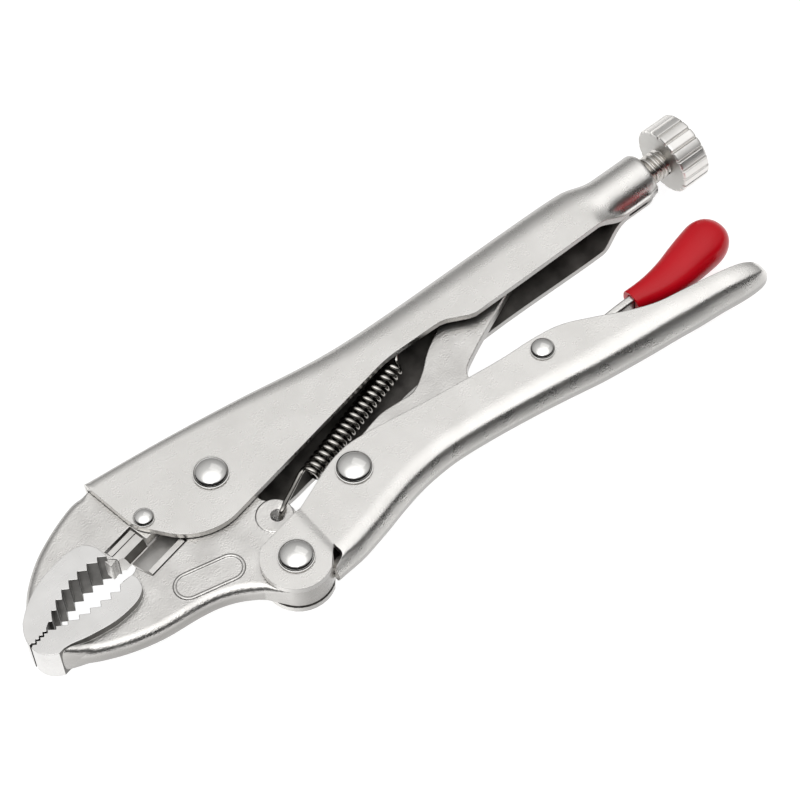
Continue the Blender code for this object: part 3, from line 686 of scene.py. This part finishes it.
# Half a section of the round tube with its pinched seam below.
def tubeHalf(size, x, counts):
    radius = size["tubeRadius"]
    nose = max(x - (size["tubeEnd"] - size["lip"]), 0) / size["lip"]
    radius -= size["lipRoll"] * (1 - math.sqrt(max(1 - nose * nose, 0)))
    total = bendSteps * (len(size["frontBends"]) - 1) + 1 + counts
    fin = size["finRows"]
    points = []
    for i in range(total - fin):
        turn = math.radians(90 - size["seamTurn"] * i / (total - fin - 1))
        points.append((x, size["tubeY"] + radius * math.sin(turn), radius * math.cos(turn)))
    last = points[-1]
    depth = size["finY"] + size["finRise"] * ease(x, size["finRiseFrom"], size["finRiseTo"])
    for i in range(1, fin + 1):
        t = i / fin
        points.append((x, last[1] + (min(depth, last[1] - 0.2) - last[1]) * t,
                       last[2] + (size["finHalf"] - last[2]) * min(1.0, t * 1.6)))
    return points


def makeUpperHandle(size):
    edge = filletPath(size["edge"], 4)
    front = [p for p in edge if p[0] <= size["frontEnd"]]
    counts = 20
    rows = []
    for x in stationsOf(size["stations"]):
        high, half = rowAt(size["spine"], x)
        rear = ease(x, size["rearFrom"], size["rearTo"])
        bends = [(p + (r - p) * rear, q + (t - q) * rear)
                 for (p, q), (r, t) in zip(size["frontBends"], size["rearBends"])]
        lower = 0.0 if x < 2 else rowAt(size["farWall"], x)[0]
        if x < size["frontEnd"]:
            share = (x - size["startX"]) / (size["frontEnd"] - size["startX"])
            free = alongPath(front, share ** 0.85)
        else:
            free = (x, heightAt(edge, x))
        blend = ease(x, size["tubeFrom"], size["tubeTo"])
        sides = []
        for drop in (0.0, lower):
            side = foldHalf((x, high), (free[0], free[1] - drop), half, bends, counts, 1)
            if blend > 0:
                side = [tuple(p + (q - p) * blend for p, q in zip(a, b))
                        for a, b in zip(side, tubeHalf(size, x, counts))]
            sides.append(side)
        rows.append(wholeFold(*sides))
    handle = sheetPiece("upperHandle", [rows], sheet, 0.45)
    tab = prism("springTab", size["tab"], -size["tabHalf"], size["tabHalf"], satinNickel)
    hole = arcPoints(size["tabHole"], size["tabHoleRadius"], 0, 345, 15)
    carve(tab, prism("tabHole", hole, -3, 3))
    roundEdges(tab, 0.15)
    return flatNormals(gather("upperHandle", [handle, tab]))


finishPiece(makeUpperHandle(upperHandleSize), "upper_body", "satin_nickel", "upper_handle")


lowerHandleSize = {
    # x, height of the spine, height of the free edge, half width
    "section": [(8.9, -33.2, -17.55, 4.1), (12.5, -32.65, -16.1, 4.1), (16.5, -31.75, -14.4, 4.1),
                (20.5, -30.75, -13.0, 4.1), (25, -29.5, -12.25, 4.1), (30, -28.3, -12.6, 4.1),
                (35, -27.6, -13.3, 4.1), (41, -27.35, -14.3, 4.1), (50, -28.1, -15.5, 4.15),
                (61, -29.6, -16.8, 4.3), (69, -31.0, -17.35, 4.5), (75, -32.1, -18.5, 4.65),
                (81, -32.9, -21.4, 4.8), (87, -33.6, -24.7, 4.9), (93, -34.2, -27.2, 4.95),
                (99, -34.9, -28.4, 4.95), (105, -35.4, -29.4, 4.9), (109, -35.9, -30.2, 4.8),
                (112.5, -36.1, -31.0, 4.4), (114.8, -35.9, -31.9, 3.6), (116.1, -35.3, -32.8, 2.3),
                (116.7, -34.6, -33.5, 0.9)],
    "bends": [(90, 0), (90, 0.5), (62, 1.0), (54, 2.4), (46, 1.6), (24, 1.2), (8, 2.4), (0, 1.8)],
    "stations": [(8.9, 109, 1.2), (109, 116.7, 0.37)],
    "lobeCentre": (1.45, -25.9), "lobeRadius": 7.4, "lobeHalf": 4.6, "joggle": (6.9, 9.0),
    # the spine's front end is a tongue between two reliefs beside the lobes
    "tongue": 3.2, "tongueHalf": (2.3, 4.0), "tongueLength": 4.5,
    "heel": 0.5, "heelDepth": (28.5, 31.5),
    # how much of the sheet's thickness goes at the tail, and where
    "tailThin": 0.72, "tailRange": (110, 115.5),
}


def makeLowerHandle(size):
    counts = 16
    first = size["section"][0][0]
    rows = []
    for x in stationsOf(size["stations"]):
        low, free, half = rowAt(size["section"], x)
        side = foldHalf((x, low), (x, free), half, size["bends"], counts, -1)
        near = 1 - ease(x, first, first + size["tongueLength"])
        side = [(a + near * (size["heel"] * ease(-b, *size["heelDepth"])
                             - size["tongue"] * (1 - ease(c, *size["tongueHalf"]))), b, c)
                for a, b, c in side]
        rows.append(wholeFold(side, side))
    patches = [rows]
    left = arcPoints(size["lobeCentre"], size["lobeRadius"], 302, 125, 177 / counts)
    for side in (1, -1):
        right = rows[0][-1 - counts:] if side > 0 else rows[0][counts::-1]
        columns = []
        for t in [0.0] + [0.03 + 0.97 * k / 15 for k in range(16)]:
            column = []
            for a, b in zip(right, left):
                x, y = a[0] + (b[0] - a[0]) * t, a[1] + (b[1] - a[1]) * t
                wide = size["lobeHalf"] - (size["lobeHalf"] - abs(a[2])) * ease(x, *size["joggle"])
                column.append((x, y, side * wide) if t else a)
            columns.append(column)
        patches.append(columns)
    return flatNormals(sheetPiece("lowerHandle", patches, sheet, 0.4,
                                  lambda x: 1 - size["tailThin"] * ease(x, *size["tailRange"])))


finishPiece(makeLowerHandle(lowerHandleSize), "handle_body", "satin_nickel", "lower_handle")


jawSize = {
    "plate": 2.8, "pad": 4.6, "notch": (-25.5, -5.0), "notchRadius": 2.3, "noseX": -50.1,
    "headRadius": 9.1, "toothPitch": 2.45, "finePitch": 1.03,
    "upperRoots": ((-31.0, -19.0), 18.5, -28.6, 8), "lowerRoots": ((-33.5, 25.05), 35.0, -29.5, 7),
    "cutterStart": (-23.2, -3.9), "cutterSlope": math.atan(0.2),
    "handlePivot": (1.45, -25.9), "tailRadius": 7.2, "eye": (4.7, -15.4), "eyeRadius": 1.5,
    "boss": (4.2, -15.1), "bossRadius": 3.9, "bossHalf": 3.02, "padRound": 0.12,
    # smooth outlines of the pads, the upper plate's back and the lower plate's belly and tail
    "fixedPad": [(-48.3, -3.0), (-45.6, -0.6), (-42, 1.6), (-38, 3.1), (-33, 3.95),
                 (-29.6, 3.6), (-27.6, 1.6), (-27.0, -1.0)],
    "lowerPad": [(-45.2, -12.7), (-43.4, -12.9), (-40, -13.7), (-34, -14.4), (-28.6, -13.7),
                 (-25.9, -12.0), (-25.2, -9.6)],
    "back": [(-20.2, 13.45), (-24, 13.9), (-28, 12.85), (-33, 10.75), (-38, 7.95),
             (-43, 3.75), (-46.6, -0.95), (-48.6, -4.6)],
    "belly": [(-48.6, -11.0), (-45.4, -13.6), (-40, -16.9), (-34, -19.4), (-27.5, -21.0),
              (-20, -21.75), (-15.4, -22.6), (-11.4, -24.2), (-7.3, -26.9)],
    "tail": [(7.7, -18.4), (8.15, -15.9), (7.2, -13.2), (4.6, -10.6), (4.4, -8.6)],
    # straight outlines under the pads, and round the cutters from the cutting line
    "fixedThroat": [(-47.6, -5.6), (-42, -2.6), (-36, 0.6), (-29.6, 1.4), (-27.6, -1.0),
                    (-27.3, -3.1)],
    "lowerThroat": [(-27.4, -7.3), (-28.0, -9.4), (-33, -11.2), (-42, -10.2), (-48.3, -9.2)],
    "fixedPocket": [(-1.95, 1.2), (-2.4, 4.75), (5.1, 4.75), (5.1, 0.2)],
    "lowerPocket": [(13.6, -0.3), (9.8, -0.2), (9.8, -6.3), (-0.2, -6.3)],
    # x, half thickness, inset from the belly, squareness
    "noseRamp": [(-48.2, 4.0, 0.4, 3.0), (-47.2, 4.35, 0.1, 3.4), (-46.0, 4.25, 0.0, 3.2),
                 (-44.8, 3.9, 0.0, 3.0), (-43.6, 3.4, 0.0, 2.6), (-42.4, 3.1, 0.1, 2.3),
                 (-41.0, 2.8, 0.2, 2.2), (-39.4, 2.4, 0.6, 2.0), (-37.8, 2.0, 1.2, 2.0)],
}
longFlank = Vector((0.835, -0.55)).normalized()
steepFlank = Vector((0.5, 0.866))


# Where two lines cross.
def meet(start, along, other, otherAlong):
    start, other = Vector(start), Vector(other)
    return tuple(start + along * ((other - start).cross(otherAlong) / along.cross(otherAlong)))


# Roots with a tip between each two, from the throat to the nose.
def toothRow(roots, up):
    outline = [roots[0]]
    for right, left in zip(roots, roots[1:]):
        if up:
            tip = meet(right, -longFlank, left, steepFlank)
        else:
            tip = meet(left, longFlank, right, -steepFlank)
        outline += [tip, left]
    return outline


def rootPoints(centre, radius, firstX, count, side):
    start = math.asin((firstX - centre[0]) / radius)
    turns = [start - jawSize["toothPitch"] / radius * i for i in range(count)]
    return [(centre[0] + radius * math.sin(t), centre[1] + side * radius * math.cos(t))
            for t in turns]


def fineRow(offset):
    roots = [(jawSize["noseX"] + 4.75 - jawSize["finePitch"] * i, -6.9 + offset - 0.21 * i)
             for i in range(5)]
    return toothRow(roots, False)


# A point beside the cutting line, along it and away from it.
def cutterPoint(along, away):
    slope = jawSize["cutterSlope"]
    x, y = jawSize["cutterStart"]
    return (x + along * math.cos(slope) - away * math.sin(slope),
            y + along * math.sin(slope) + away * math.cos(slope))


def makeFixedJaw(size):
    roots = rootPoints(*size["upperRoots"], 1)
    firstTip = meet(roots[0], longFlank, (-27.0, 0), Vector((0, 1)))
    bite = [firstTip] + toothRow(roots, False) + fineRow(0)
    nose = curveThrough([(size["noseX"], -7.9), (-49.6, -5.4), (-48.3, -3.0)])[:-1]
    outline = bite + nose + curveThrough(size["fixedPad"])
    # The tooth flanks and one pad wall take toothShade, painted shade.
    pad = prism("fixedPad", outline, -size["pad"], size["pad"], groundSteel,
                [*range(len(bite)), len(outline) - 1], toothShade)
    roundEdges(pad, size["padRound"], segments=2)
    outline = ([(-5.5, 11.0), (-19.4, 12.3)] + curveThrough(size["back"]) + size["fixedThroat"]
               + arcPoints(size["notch"], size["notchRadius"], 122, 92)
               + [cutterPoint(*point) for point in size["fixedPocket"]]
               + arcPoints((0, 0), size["headRadius"] + 0.45, 185, 125))

    # wide along the back, and narrow towards the bite and the rivet
    def rim(x, y):
        return 0.15 + 1.75 * ease(y - 0.55 * (x + 43), -2.0, 0.4) * ease(-x, 20.3, 23)

    plate = forging("fixedPlate", outline, size["plate"], rim, forgedNickel)
    return flatNormals(gather("fixedJaw", [plate, pad]))


def makeLowerJaw(size):
    roots = rootPoints(*size["lowerRoots"], -1)
    firstTip = tuple(Vector(roots[0]) + steepFlank * 1.5)
    bite = [(-25.6, -8.2), firstTip] + toothRow(roots, True) + fineRow(-0.36)
    nose = curveThrough([(size["noseX"], -8.5), (-49.5, -10.6), (-48.1, -12.2), (-46.6, -13.0)])
    outline = bite + nose + curveThrough(size["lowerPad"])
    # The tooth flanks and the pad's lower wall take toothShade, painted shade.
    dark = [*range(1, len(bite)), *range(len(bite + nose) - 1, len(outline))]
    pad = prism("lowerPad", outline, -size["pad"], size["pad"], groundSteel, dark, toothShade)
    roundEdges(pad, size["padRound"], segments=2)
    belly = curveThrough(size["belly"])
    outline = (arcPoints((0, 0), size["headRadius"], -62, 180)
               + [cutterPoint(*point) for point in size["lowerPocket"]]
               + arcPoints(size["notch"], size["notchRadius"], -40, -100)
               + size["lowerThroat"] + belly
               + arcPoints(size["handlePivot"], size["tailRadius"], -138, 50)
               + curveThrough(size["tail"], 5)[:-1])

    # wide along the belly, and narrow near the handle's rivet
    def rim(x, y):
        return 0.2 + 1.9 * ease(-y, 11.0, 13.6) * ease(-x, 4.0, 9.0)

    plate = forging("lowerPlate", outline, size["plate"], rim, forgedNickel)
    boss = prism("eyeBoss", arcPoints(size["boss"], size["bossRadius"], 0, 354, 6),
                 -size["bossHalf"], size["bossHalf"], forgedNickel)
    roundEdges(boss, 0.35)
    for part in (plate, boss):
        drill(part, size["eye"], size["eyeRadius"])
    ramp = makeNoseRamp(size["noseRamp"], belly)
    return flatNormals(gather("lowerJaw", [plate, pad, boss, ramp, makeBadge(badgeSize)]))


# Where the thick nose thins to the plate along the belly.
def makeNoseRamp(rows, belly):
    loops = []
    for x, half, inset, squareness in rows:
        here, ahead = Vector((x, heightAt(belly, x))), Vector((x + 1, heightAt(belly, x + 1)))
        across = (ahead - here).normalized().orthogonal()
        loops.append([(*(here + across * (inset + 1.9 - 1.9 * c)), half * q)
                      for c, q in squareRound(squareness)])
    return loft("noseRamp", loops, forgedNickel)


# A unit circle pulled towards a square.
def squareRound(squareness, sides=40):
    turns = [2 * math.pi * i / sides for i in range(sides)]
    return [(math.copysign(abs(math.cos(t)) ** (2 / squareness), math.cos(t)),
             math.copysign(abs(math.sin(t)) ** (2 / squareness), math.sin(t))) for t in turns]


badgeSize = {
    "middle": (-13.9, -17.6), "halfLength": 7.2, "halfWidth": 2.75, "tilt": -13,
    # how far out from the rim's middle line, how high above the plate
    "profile": [(-0.45, -0.3), (-0.32, 0.16), (0.0, 0.3), (0.32, 0.16), (0.45, -0.3)],
}


# A blank oblong rim raised on the lower jaw.
def makeBadge(size):
    middle = Vector(size["middle"])
    straight = size["halfLength"] - size["halfWidth"]
    outline = (arcPoints((straight, 0), 1.0, -90, 90, 10)
               + arcPoints((-straight, 0), 1.0, 90, 270, 10))
    turn = Matrix.Rotation(math.radians(size["tilt"]), 2)
    loops = []
    for offset, rise in size["profile"]:
        ring = []
        for x, y in outline:
            centre = straight if x > 0 else -straight
            spoke = Vector((x - centre, y)) * (size["halfWidth"] + offset)
            point = middle + turn @ (Vector((centre, 0)) + spoke)
            ring.append((*point, jawSize["plate"] + rise))
        loops.append(ring)
    return loft("badgeRim", loops + [loops[0]], forgedNickel, closed=False)


# A hard insert held in a slanted slot, from half its section (away from the edge, height).
def makeCutter(name, side, half, start, end):
    section = half + [(away, -z) for away, z in reversed(half)]
    loops = [[(*cutterPoint(along, side * away), z) for away, z in section]
             for along in (start, end)]
    insert = loft(name, loops, cutterSteel)
    # On the upper cutter the slanted bevel faces take toothShade, painted shade.
    insert.data.materials.append(toothShade)
    for face in insert.data.polygons:
        if side > 0 and 0.1 < face.normal.z < 0.9:
            face.material_index = 1
    if start < 0:
        notch = arcPoints(jawSize["notch"], jawSize["notchRadius"], 0, 356, 4)
        carve(insert, prism("notch", notch, -9, 9))
    return flatNormals(roundEdges(insert, 0.1, segments=2))


finishPiece(makeFixedJaw(jawSize), "upper_body", "satin_nickel", "fixed_jaw")
finishPiece(makeLowerJaw(jawSize), "jaw_body", "satin_nickel", "lower_jaw")
cutterSize = {
    "upper": [(0.12, 0.22), (0.95, 2.45), (1.25, 2.45), (1.3, 2.25), (2.95, 2.25), (3.05, 2.5),
              (3.35, 2.5), (3.4, 2.25), (4.35, 2.25)],
    "lower": [(0.12, 0.22), (4.6, 1.7), (4.75, 2.6), (6.0, 2.6)],
}
finishPiece(makeCutter("upperCutter", 1, cutterSize["upper"], -2.0, 4.8),
            "upper_body", "ground_steel", "upper_cutter")
finishPiece(makeCutter("lowerCutter", -1, cutterSize["lower"], 0.0, 9.5),
            "jaw_body", "ground_steel", "lower_cutter")


linkSize = {
    "half": 1.4, "pivot": (22.6, -17.3), "pivotRadius": 5.6, "end": (77.2, 1.3), "endRadius": 3.6,
    "belly": [(36, -22.3), (44, -21.9), (51, -21.0), (54.2, -19.7), (54.7, -18.2), (54.2, -14.6),
              (55.6, -12.3), (59, -10.3), (64, -7.9), (71, -4.75), (76.6, -2.2)],
    "back": [(70, 4.3), (62, 1.6), (56.5, -1.3), (51.5, -4.2), (47.6, -7.4), (43.5, -9.7),
             (39.5, -9.6), (35, -9.5), (29.5, -10.8)],
}


def makeToggleLink(size):
    outline = (arcPoints(size["pivot"], size["pivotRadius"], 75, 262) + curveThrough(size["belly"])
               + arcPoints(size["end"], size["endRadius"], -65, 100) + curveThrough(size["back"]))
    link = prism("toggleLink", outline, -size["half"], size["half"], forgedNickel)
    return flatNormals(roundEdges(link, 0.3, angle=40))


finishPiece(makeToggleLink(linkSize), "link_body", "satin_nickel", "toggle_link")


leverSize = {
    # x, low, high, half width
    "rows": [(57.4, -20.3, -18.6, 1.7), (60.5, -21.8, -18.1, 2.3), (66, -23.3, -18.0, 2.3),
             (71, -23.3, -18.2, 2.3), (76, -22.9, -19.6, 2.3), (82, -22.9, -21.0, 2.3),
             (88, -22.7, -20.9, 2.3), (95, -22.4, -20.6, 1.9), (110, -21.0, -19.2, 1.8)],
    # x, middle, half height, half width
    "grip": [(91.2, -21.5, 2.5, 2.75), (94, -21.85, 2.85, 2.9), (97, -22.15, 3.35, 3.1),
             (101, -22.1, 4.0, 3.5), (105, -21.55, 4.6, 3.9), (109, -20.9, 5.0, 4.2),
             (112, -20.45, 5.1, 4.3), (114.3, -20.3, 4.55, 4.0), (116.0, -20.3, 3.4, 3.1),
             (117.0, -20.35, 1.9, 1.8), (117.35, -20.4, 0.5, 0.5)],
}


# A rounded section; squareness 2 is an ellipse and more is boxier.
def ovalLoop(x, y, halfY, halfZ, squareness):
    return [(x, y + c * halfY, s * halfZ) for c, s in squareRound(squareness, 48)]


def makeLever(size):
    loops = []
    for x in steps(57.4, 110, 0.8):
        low, high, half = rowAt(size["rows"], x)
        loops.append(ovalLoop(x, (low + high) / 2, (high - low) / 2, half, 5.0))
    lever = loft("releaseLever", loops, satinNickel)
    return flatNormals(roundEdges(lever, 0.2, angle=60))


def makeGrip(size):
    stations = stationsOf([(91.2, 113.4, 0.4), (113.4, 117.35, 0.12)])
    loops = [ovalLoop(x, *rowAt(size["grip"], x), 2.25) for x in stations]
    mouth = [ovalLoop(x, -21.6, 1.15, 2.1, 4.0) for x in (92.6, 91.2)]
    return roundEdges(loft("leverGrip", mouth + loops, redVinyl), 0.18, angle=60)


finishPiece(makeLever(leverSize), "lever_body", "satin_nickel", "release_lever")
finishPiece(makeGrip(leverSize), "lever_body", "red_vinyl", "lever_grip")


def rivetTree(material):
    shape = ShapeTree("rivetShape", {
        "headRadius": 0.0037, "headHeight": 0.0012, "shankRadius": 0.0026, "rimHeight": 0.00028,
        "halfSpan": 0.0046, "rings": 161, "sides": 65})
    size = shape.size

    # u runs from the lower head's middle round its rim, and up the shank to the upper head's
    def place(u, v):
        signed = u * 2.0 - 1.0
        share = signed.combine("ABSOLUTE")
        lift = share.between(0.0, 0.06, 0.0, 1.0)
        flare = share.between(0.06, 0.10, 0.0, 1.0)
        rim = share.between(0.10, 0.13, 0.0, 1.0) * size("rimHeight")
        out = share.between(0.14, 1.0, 1.0, 0.0)
        dome = ((out / 0.94).combine("POWER", 2.0) * -1.0 + 1.0).combine("MAXIMUM", 0.0)
        rise = dome.combine("POWER", 0.55) * (size("headHeight") - size("rimHeight"))
        rise = rise * share.combine("GREATER_THAN", 0.14)
        flange = size("headRadius") - size("shankRadius")
        radius = (size("shankRadius") + flare * flange) * out
        return signed.combine("SIGN") * (lift * size("halfSpan") + rim + rise), radius

    return shape.turned(place, "Z", material)


rivets = rivetTree(brightNickel)
rivetRows = [("jawPivotRivet", (0.0, 0.0), 3.75, 1.75, 4.74, "upper_body", "jaw_pivot_rivet"),
             ("fixedJawRivet", (-16.3, 0.5), 2.2, 1.15, 4.74, "upper_body", "fixed_jaw_rivet"),
             ("handlePivotRivet", (1.45, -25.9), 3.8, 1.75, 4.74, "handle_body",
              "handle_pivot_rivet"),
             ("linkPivotRivet", (22.6, -17.3), 3.85, 1.75, 4.24, "handle_body", "link_pivot_rivet"),
             ("leverPivotRivet", (68.55, -20.6), 2.6, 1.3, 4.6, "handle_body", "lever_pivot_rivet")]
for name, centre, radius, height, span, body, node in rivetRows:
    rivet = grow(name, rivets, {
        "headRadius": radius * mm, "headHeight": height * mm, "shankRadius": 0.68 * radius * mm,
        "rimHeight": 0.12 * height * mm, "halfSpan": span * mm}, turn=shift(*centre))
    finishPiece(rivet, body, "polished_nickel", node)


def threadTree(material):
    shape = ShapeTree("threadShape", {
        "startX": 0.0862, "endX": 0.124, "crest": 0.00317, "root": 0.0025, "pitch": 0.00127,
        "rings": 420, "sides": 49})
    size = shape.size

    def place(u, v):
        x = size("startX") + u * (size("endX") - size("startX"))
        phase = (x / size("pitch") - v).combine("FRACT")
        slope = ((phase - 0.5).combine("ABSOLUTE") * 2.9 - 0.45).clamped()
        radius = size("crest") - slope * (size("crest") - size("root"))
        taper = (u * 40.0).combine("MINIMUM", 1.0)
        return x, radius * (taper * 0.25 + 0.75)

    return shape.turned(place, "X", material)


def knobTree(material):
    shape = ShapeTree("knobShape", {
        "startX": 0.1189, "length": 0.0069, "radius": 0.0076, "grooves": 20, "grooveDepth": 0.0006,
        "bore": 0.0031, "rings": 90, "sides": 601})
    size = shape.size

    # u runs out over the front face, along the rim, and back in over the rear face
    def place(u, v):
        out, along, back = ((u * 3.0 - turn).clamped() for turn in (0.0, 1.0, 2.0))
        chamfer = ((along - 0.5).combine("ABSOLUTE") * 2.0 - 0.9).combine("MAXIMUM", 0.0)
        rim = size("radius") - chamfer * 0.004
        radius = rim * out * (back * -1.0 + 1.0) + size("bore") * (out * -1.0 + 1.0)
        phase = (v * size("grooves")).combine("FRACT")
        dip = ((phase - 0.5).combine("ABSOLUTE") * -7.0 + 1.0).combine("MAXIMUM", 0.0)
        nearRim = ((radius / size("radius")) * 6.0 - 5.0).clamped()
        radius = radius - dip * size("grooveDepth") * nearRim
        return size("startX") + along * size("length"), radius

    return shape.turned(place, "X", material)


screwY = upperHandleSize["tubeY"]
finishPiece(grow("adjustingScrew", threadTree(turnedNickel), {}, turn=shift(0, screwY)),
            "knob_body", "polished_nickel", "adjusting_screw")
finishPiece(grow("adjustingKnob", knobTree(knurledNickel), {}, turn=shift(0, screwY)),
            "knob_body", "polished_nickel", "adjusting_knob")


pointProfile = [(83.6, 0.05), (83.65, 0.8), (83.85, 1.5), (84.3, 2.1), (84.9, 2.35), (86.2, 2.4),
                (86.2, 0.05)]


def makeScrewPoint(profile):
    loops = [[(x, screwY + radius * c, radius * s) for c, s in squareRound(2.0)]
             for x, radius in profile]
    return loft("screwPoint", loops, turnedNickel)


finishPiece(makeScrewPoint(pointProfile), "point_body", "polished_nickel", "screw_point")


springSize = {
    "start": (16.1, -10.75), "end": (44.2, -2.3), "coilRadius": 1.75, "wire": 0.5,
    "turns": 19.4, "startTurn": -50, "perTurn": 28,
    # the wire's way through the eye, and its hook round the tab
    "front": [(9.4, -12.9, -3.5), (7.2, -14.3, -3.55), (5.7, -15.2, -3.4), (5.25, -15.5, -2.2),
              (5.2, -15.6, 0.0), (5.25, -15.6, 2.2), (5.6, -15.5, 3.3), (6.3, -15.2, 3.55),
              (7.5, -14.2, 3.0), (10.5, -12.3, 2.0), (12.6, -11.0, 1.5), (14.4, -9.95, 1.25)],
    "rear": [(45.6, -1.4, 1.5), (47.2, 0.4, 1.7), (48.8, 2.0, 1.4), (49.5, 2.3, 0.2),
             (49.5, 2.2, -1.3)],
}


def springPath(size):
    start, end = Vector((*size["start"], 0)), Vector((*size["end"], 0))
    side = Vector((0, 0, 1))
    up = side.cross((end - start).normalized())
    count = round(size["turns"] * size["perTurn"])
    coil = []
    for i in range(count + 1):
        turn = math.radians(size["startTurn"]) + 2 * math.pi * i / size["perTurn"]
        spoke = size["coilRadius"] * (math.cos(turn) * side - math.sin(turn) * up)
        coil.append(tuple(start.lerp(end, i / count) + spoke))
    return curveThrough(size["front"], 6)[:-1] + coil + curveThrough(size["rear"], 6)[1:]


def wireTree(material):
    shape = ShapeTree("wireShape", {"wireRadius": 0.00045, "sides": 14})
    ring = shape.add("GeometryNodeCurvePrimitiveCircle", {
        "Resolution": shape.size("sides"), "Radius": shape.size("wireRadius")})
    wire = shape.add("GeometryNodeCurveToMesh", {
        "Curve": shape.start.outputs["Geometry"], "Profile Curve": ring.outputs["Curve"],
        "Fill Caps": True})
    return shape.close(wire.outputs[0], material)


def makeSpring(size):
    line = bpy.data.curves.new("springLine", "CURVE")
    line.dimensions = "3D"
    path = springPath(size)
    spline = line.splines.new("POLY")
    spline.points.add(len(path) - 1)
    for point, (x, y, z) in zip(spline.points, path):
        point.co = (x * mm, y * mm, z * mm, 1.0)
    return grow("jawSpring", wireTree(springSteel), {"wireRadius": size["wire"] * mm}, data=line)


spring = makeSpring(springSize)
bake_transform(spring)
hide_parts("jaw_spring")
print("made spring")


def makeFloor():
    bpy.ops.mesh.primitive_plane_add(size=6.0, location=(0, 0, -0.0002))
    floor = bpy.context.object
    floor.name = "floor"
    material, tree, shader = startMaterial("paleFloor")
    setInputs(tree, shader, {
        "Base Color": (0.35, 0.35, 0.35, 1.0), "Roughness": 0.9, "Specular IOR Level": 0.1,
        "Emission Color": (1.0, 1.0, 1.0, 1.0),
        "Emission Strength": addRange(tree, addNoise(tree, 300.0, 2.0), 0.84, 0.86)})
    floor.data.materials.append(material)


worldSize = {
    "strength": 1.6,
    # a bright ceiling that leans to the camera's side, by how far a direction leans that way
    "ceiling": ((-0.142, -0.216, 0.966),
                [(0.0, 0.22), (0.35, 0.33), (0.60, 0.43), (0.72, 0.50), (0.86, 0.92), (1.0, 1.0)]),
    # a dark room behind the camera, below the ceiling
    "room": ((0.275, 0.417, 0.866), [(0.0, 0.03), (0.24, 0.04), (0.40, 1.0), (1.0, 1.0)])}


# A bright studio above the tool, and a dark room on the camera's side.
def makeWorld(size):
    world = bpy.data.worlds.new("studio")
    bpy.context.scene.world = world
    world.use_nodes = True
    tree = world.node_tree
    place = addNode(tree, "ShaderNodeTexCoord")
    levels = []
    for direction, stops in (size["ceiling"], size["room"]):
        lean = addNode(tree, "ShaderNodeVectorMath", {0: place.outputs["Generated"], 1: direction},
                       operation="DOT_PRODUCT")
        ramp = addNode(tree, "ShaderNodeValToRGB", {0: lean.outputs["Value"]})
        while len(ramp.color_ramp.elements) < len(stops):
            ramp.color_ramp.elements.new(0.5)
        for element, (position, level) in zip(ramp.color_ramp.elements, stops):
            element.position = position
            element.color = (level, level, level, 1.0)
        levels.append(ramp.outputs[0])
    both = addNode(tree, "ShaderNodeMath", dict(enumerate(levels)), operation="MULTIPLY")
    setInputs(tree, tree.nodes["Background"], {
        "Color": both.outputs[0], "Strength": size["strength"]})


# A rectangular light that faces the tool.
def addSoftbox(name, azimuth, elevation, distance, width, height, power):
    light = bpy.data.lights.new(name, "AREA")
    light.shape = "RECTANGLE"
    light.size, light.size_y = width, height
    light.energy = power
    holder = addObject(name, light)
    a, e = math.radians(azimuth), math.radians(elevation)
    back = Vector((math.sin(a) * math.cos(e), -math.cos(a) * math.cos(e), math.sin(e)))
    holder.location = back * distance
    holder.rotation_euler = (-back).to_track_quat("-Z", "Y").to_euler()


cameraSize = {"azimuth": -33.4, "elevation": 58.5, "roll": 6.2, "lens": 152.62,
              "place": (-156.9, -308.5, 585.3)}


def makeCamera(size):
    data = bpy.data.cameras.new("camera")
    data.lens = size["lens"]
    data.sensor_width = 36.0
    data.clip_start, data.clip_end = 0.05, 20.0
    camera = addObject("camera", data)
    turn = (Matrix.Rotation(math.radians(size["azimuth"]), 4, "Z")
            @ Matrix.Rotation(math.radians(90 - size["elevation"]), 4, "X")
            @ Matrix.Rotation(math.radians(-size["roll"]), 4, "Z"))
    camera.matrix_world = Matrix.Translation(jawPivot + Vector(size["place"]) * mm) @ turn
    bpy.context.scene.camera = camera


makeFloor()
makeWorld(worldSize)
addSoftbox("keyLight", -60, 62, 1.2, 0.9, 0.7, 1.6)
addSoftbox("fillLight", 120, 55, 1.4, 1.0, 0.6, 0.5)
makeCamera(cameraSize)
bpy.context.scene.view_settings.view_transform = "Standard"
print("made floor, light and camera")
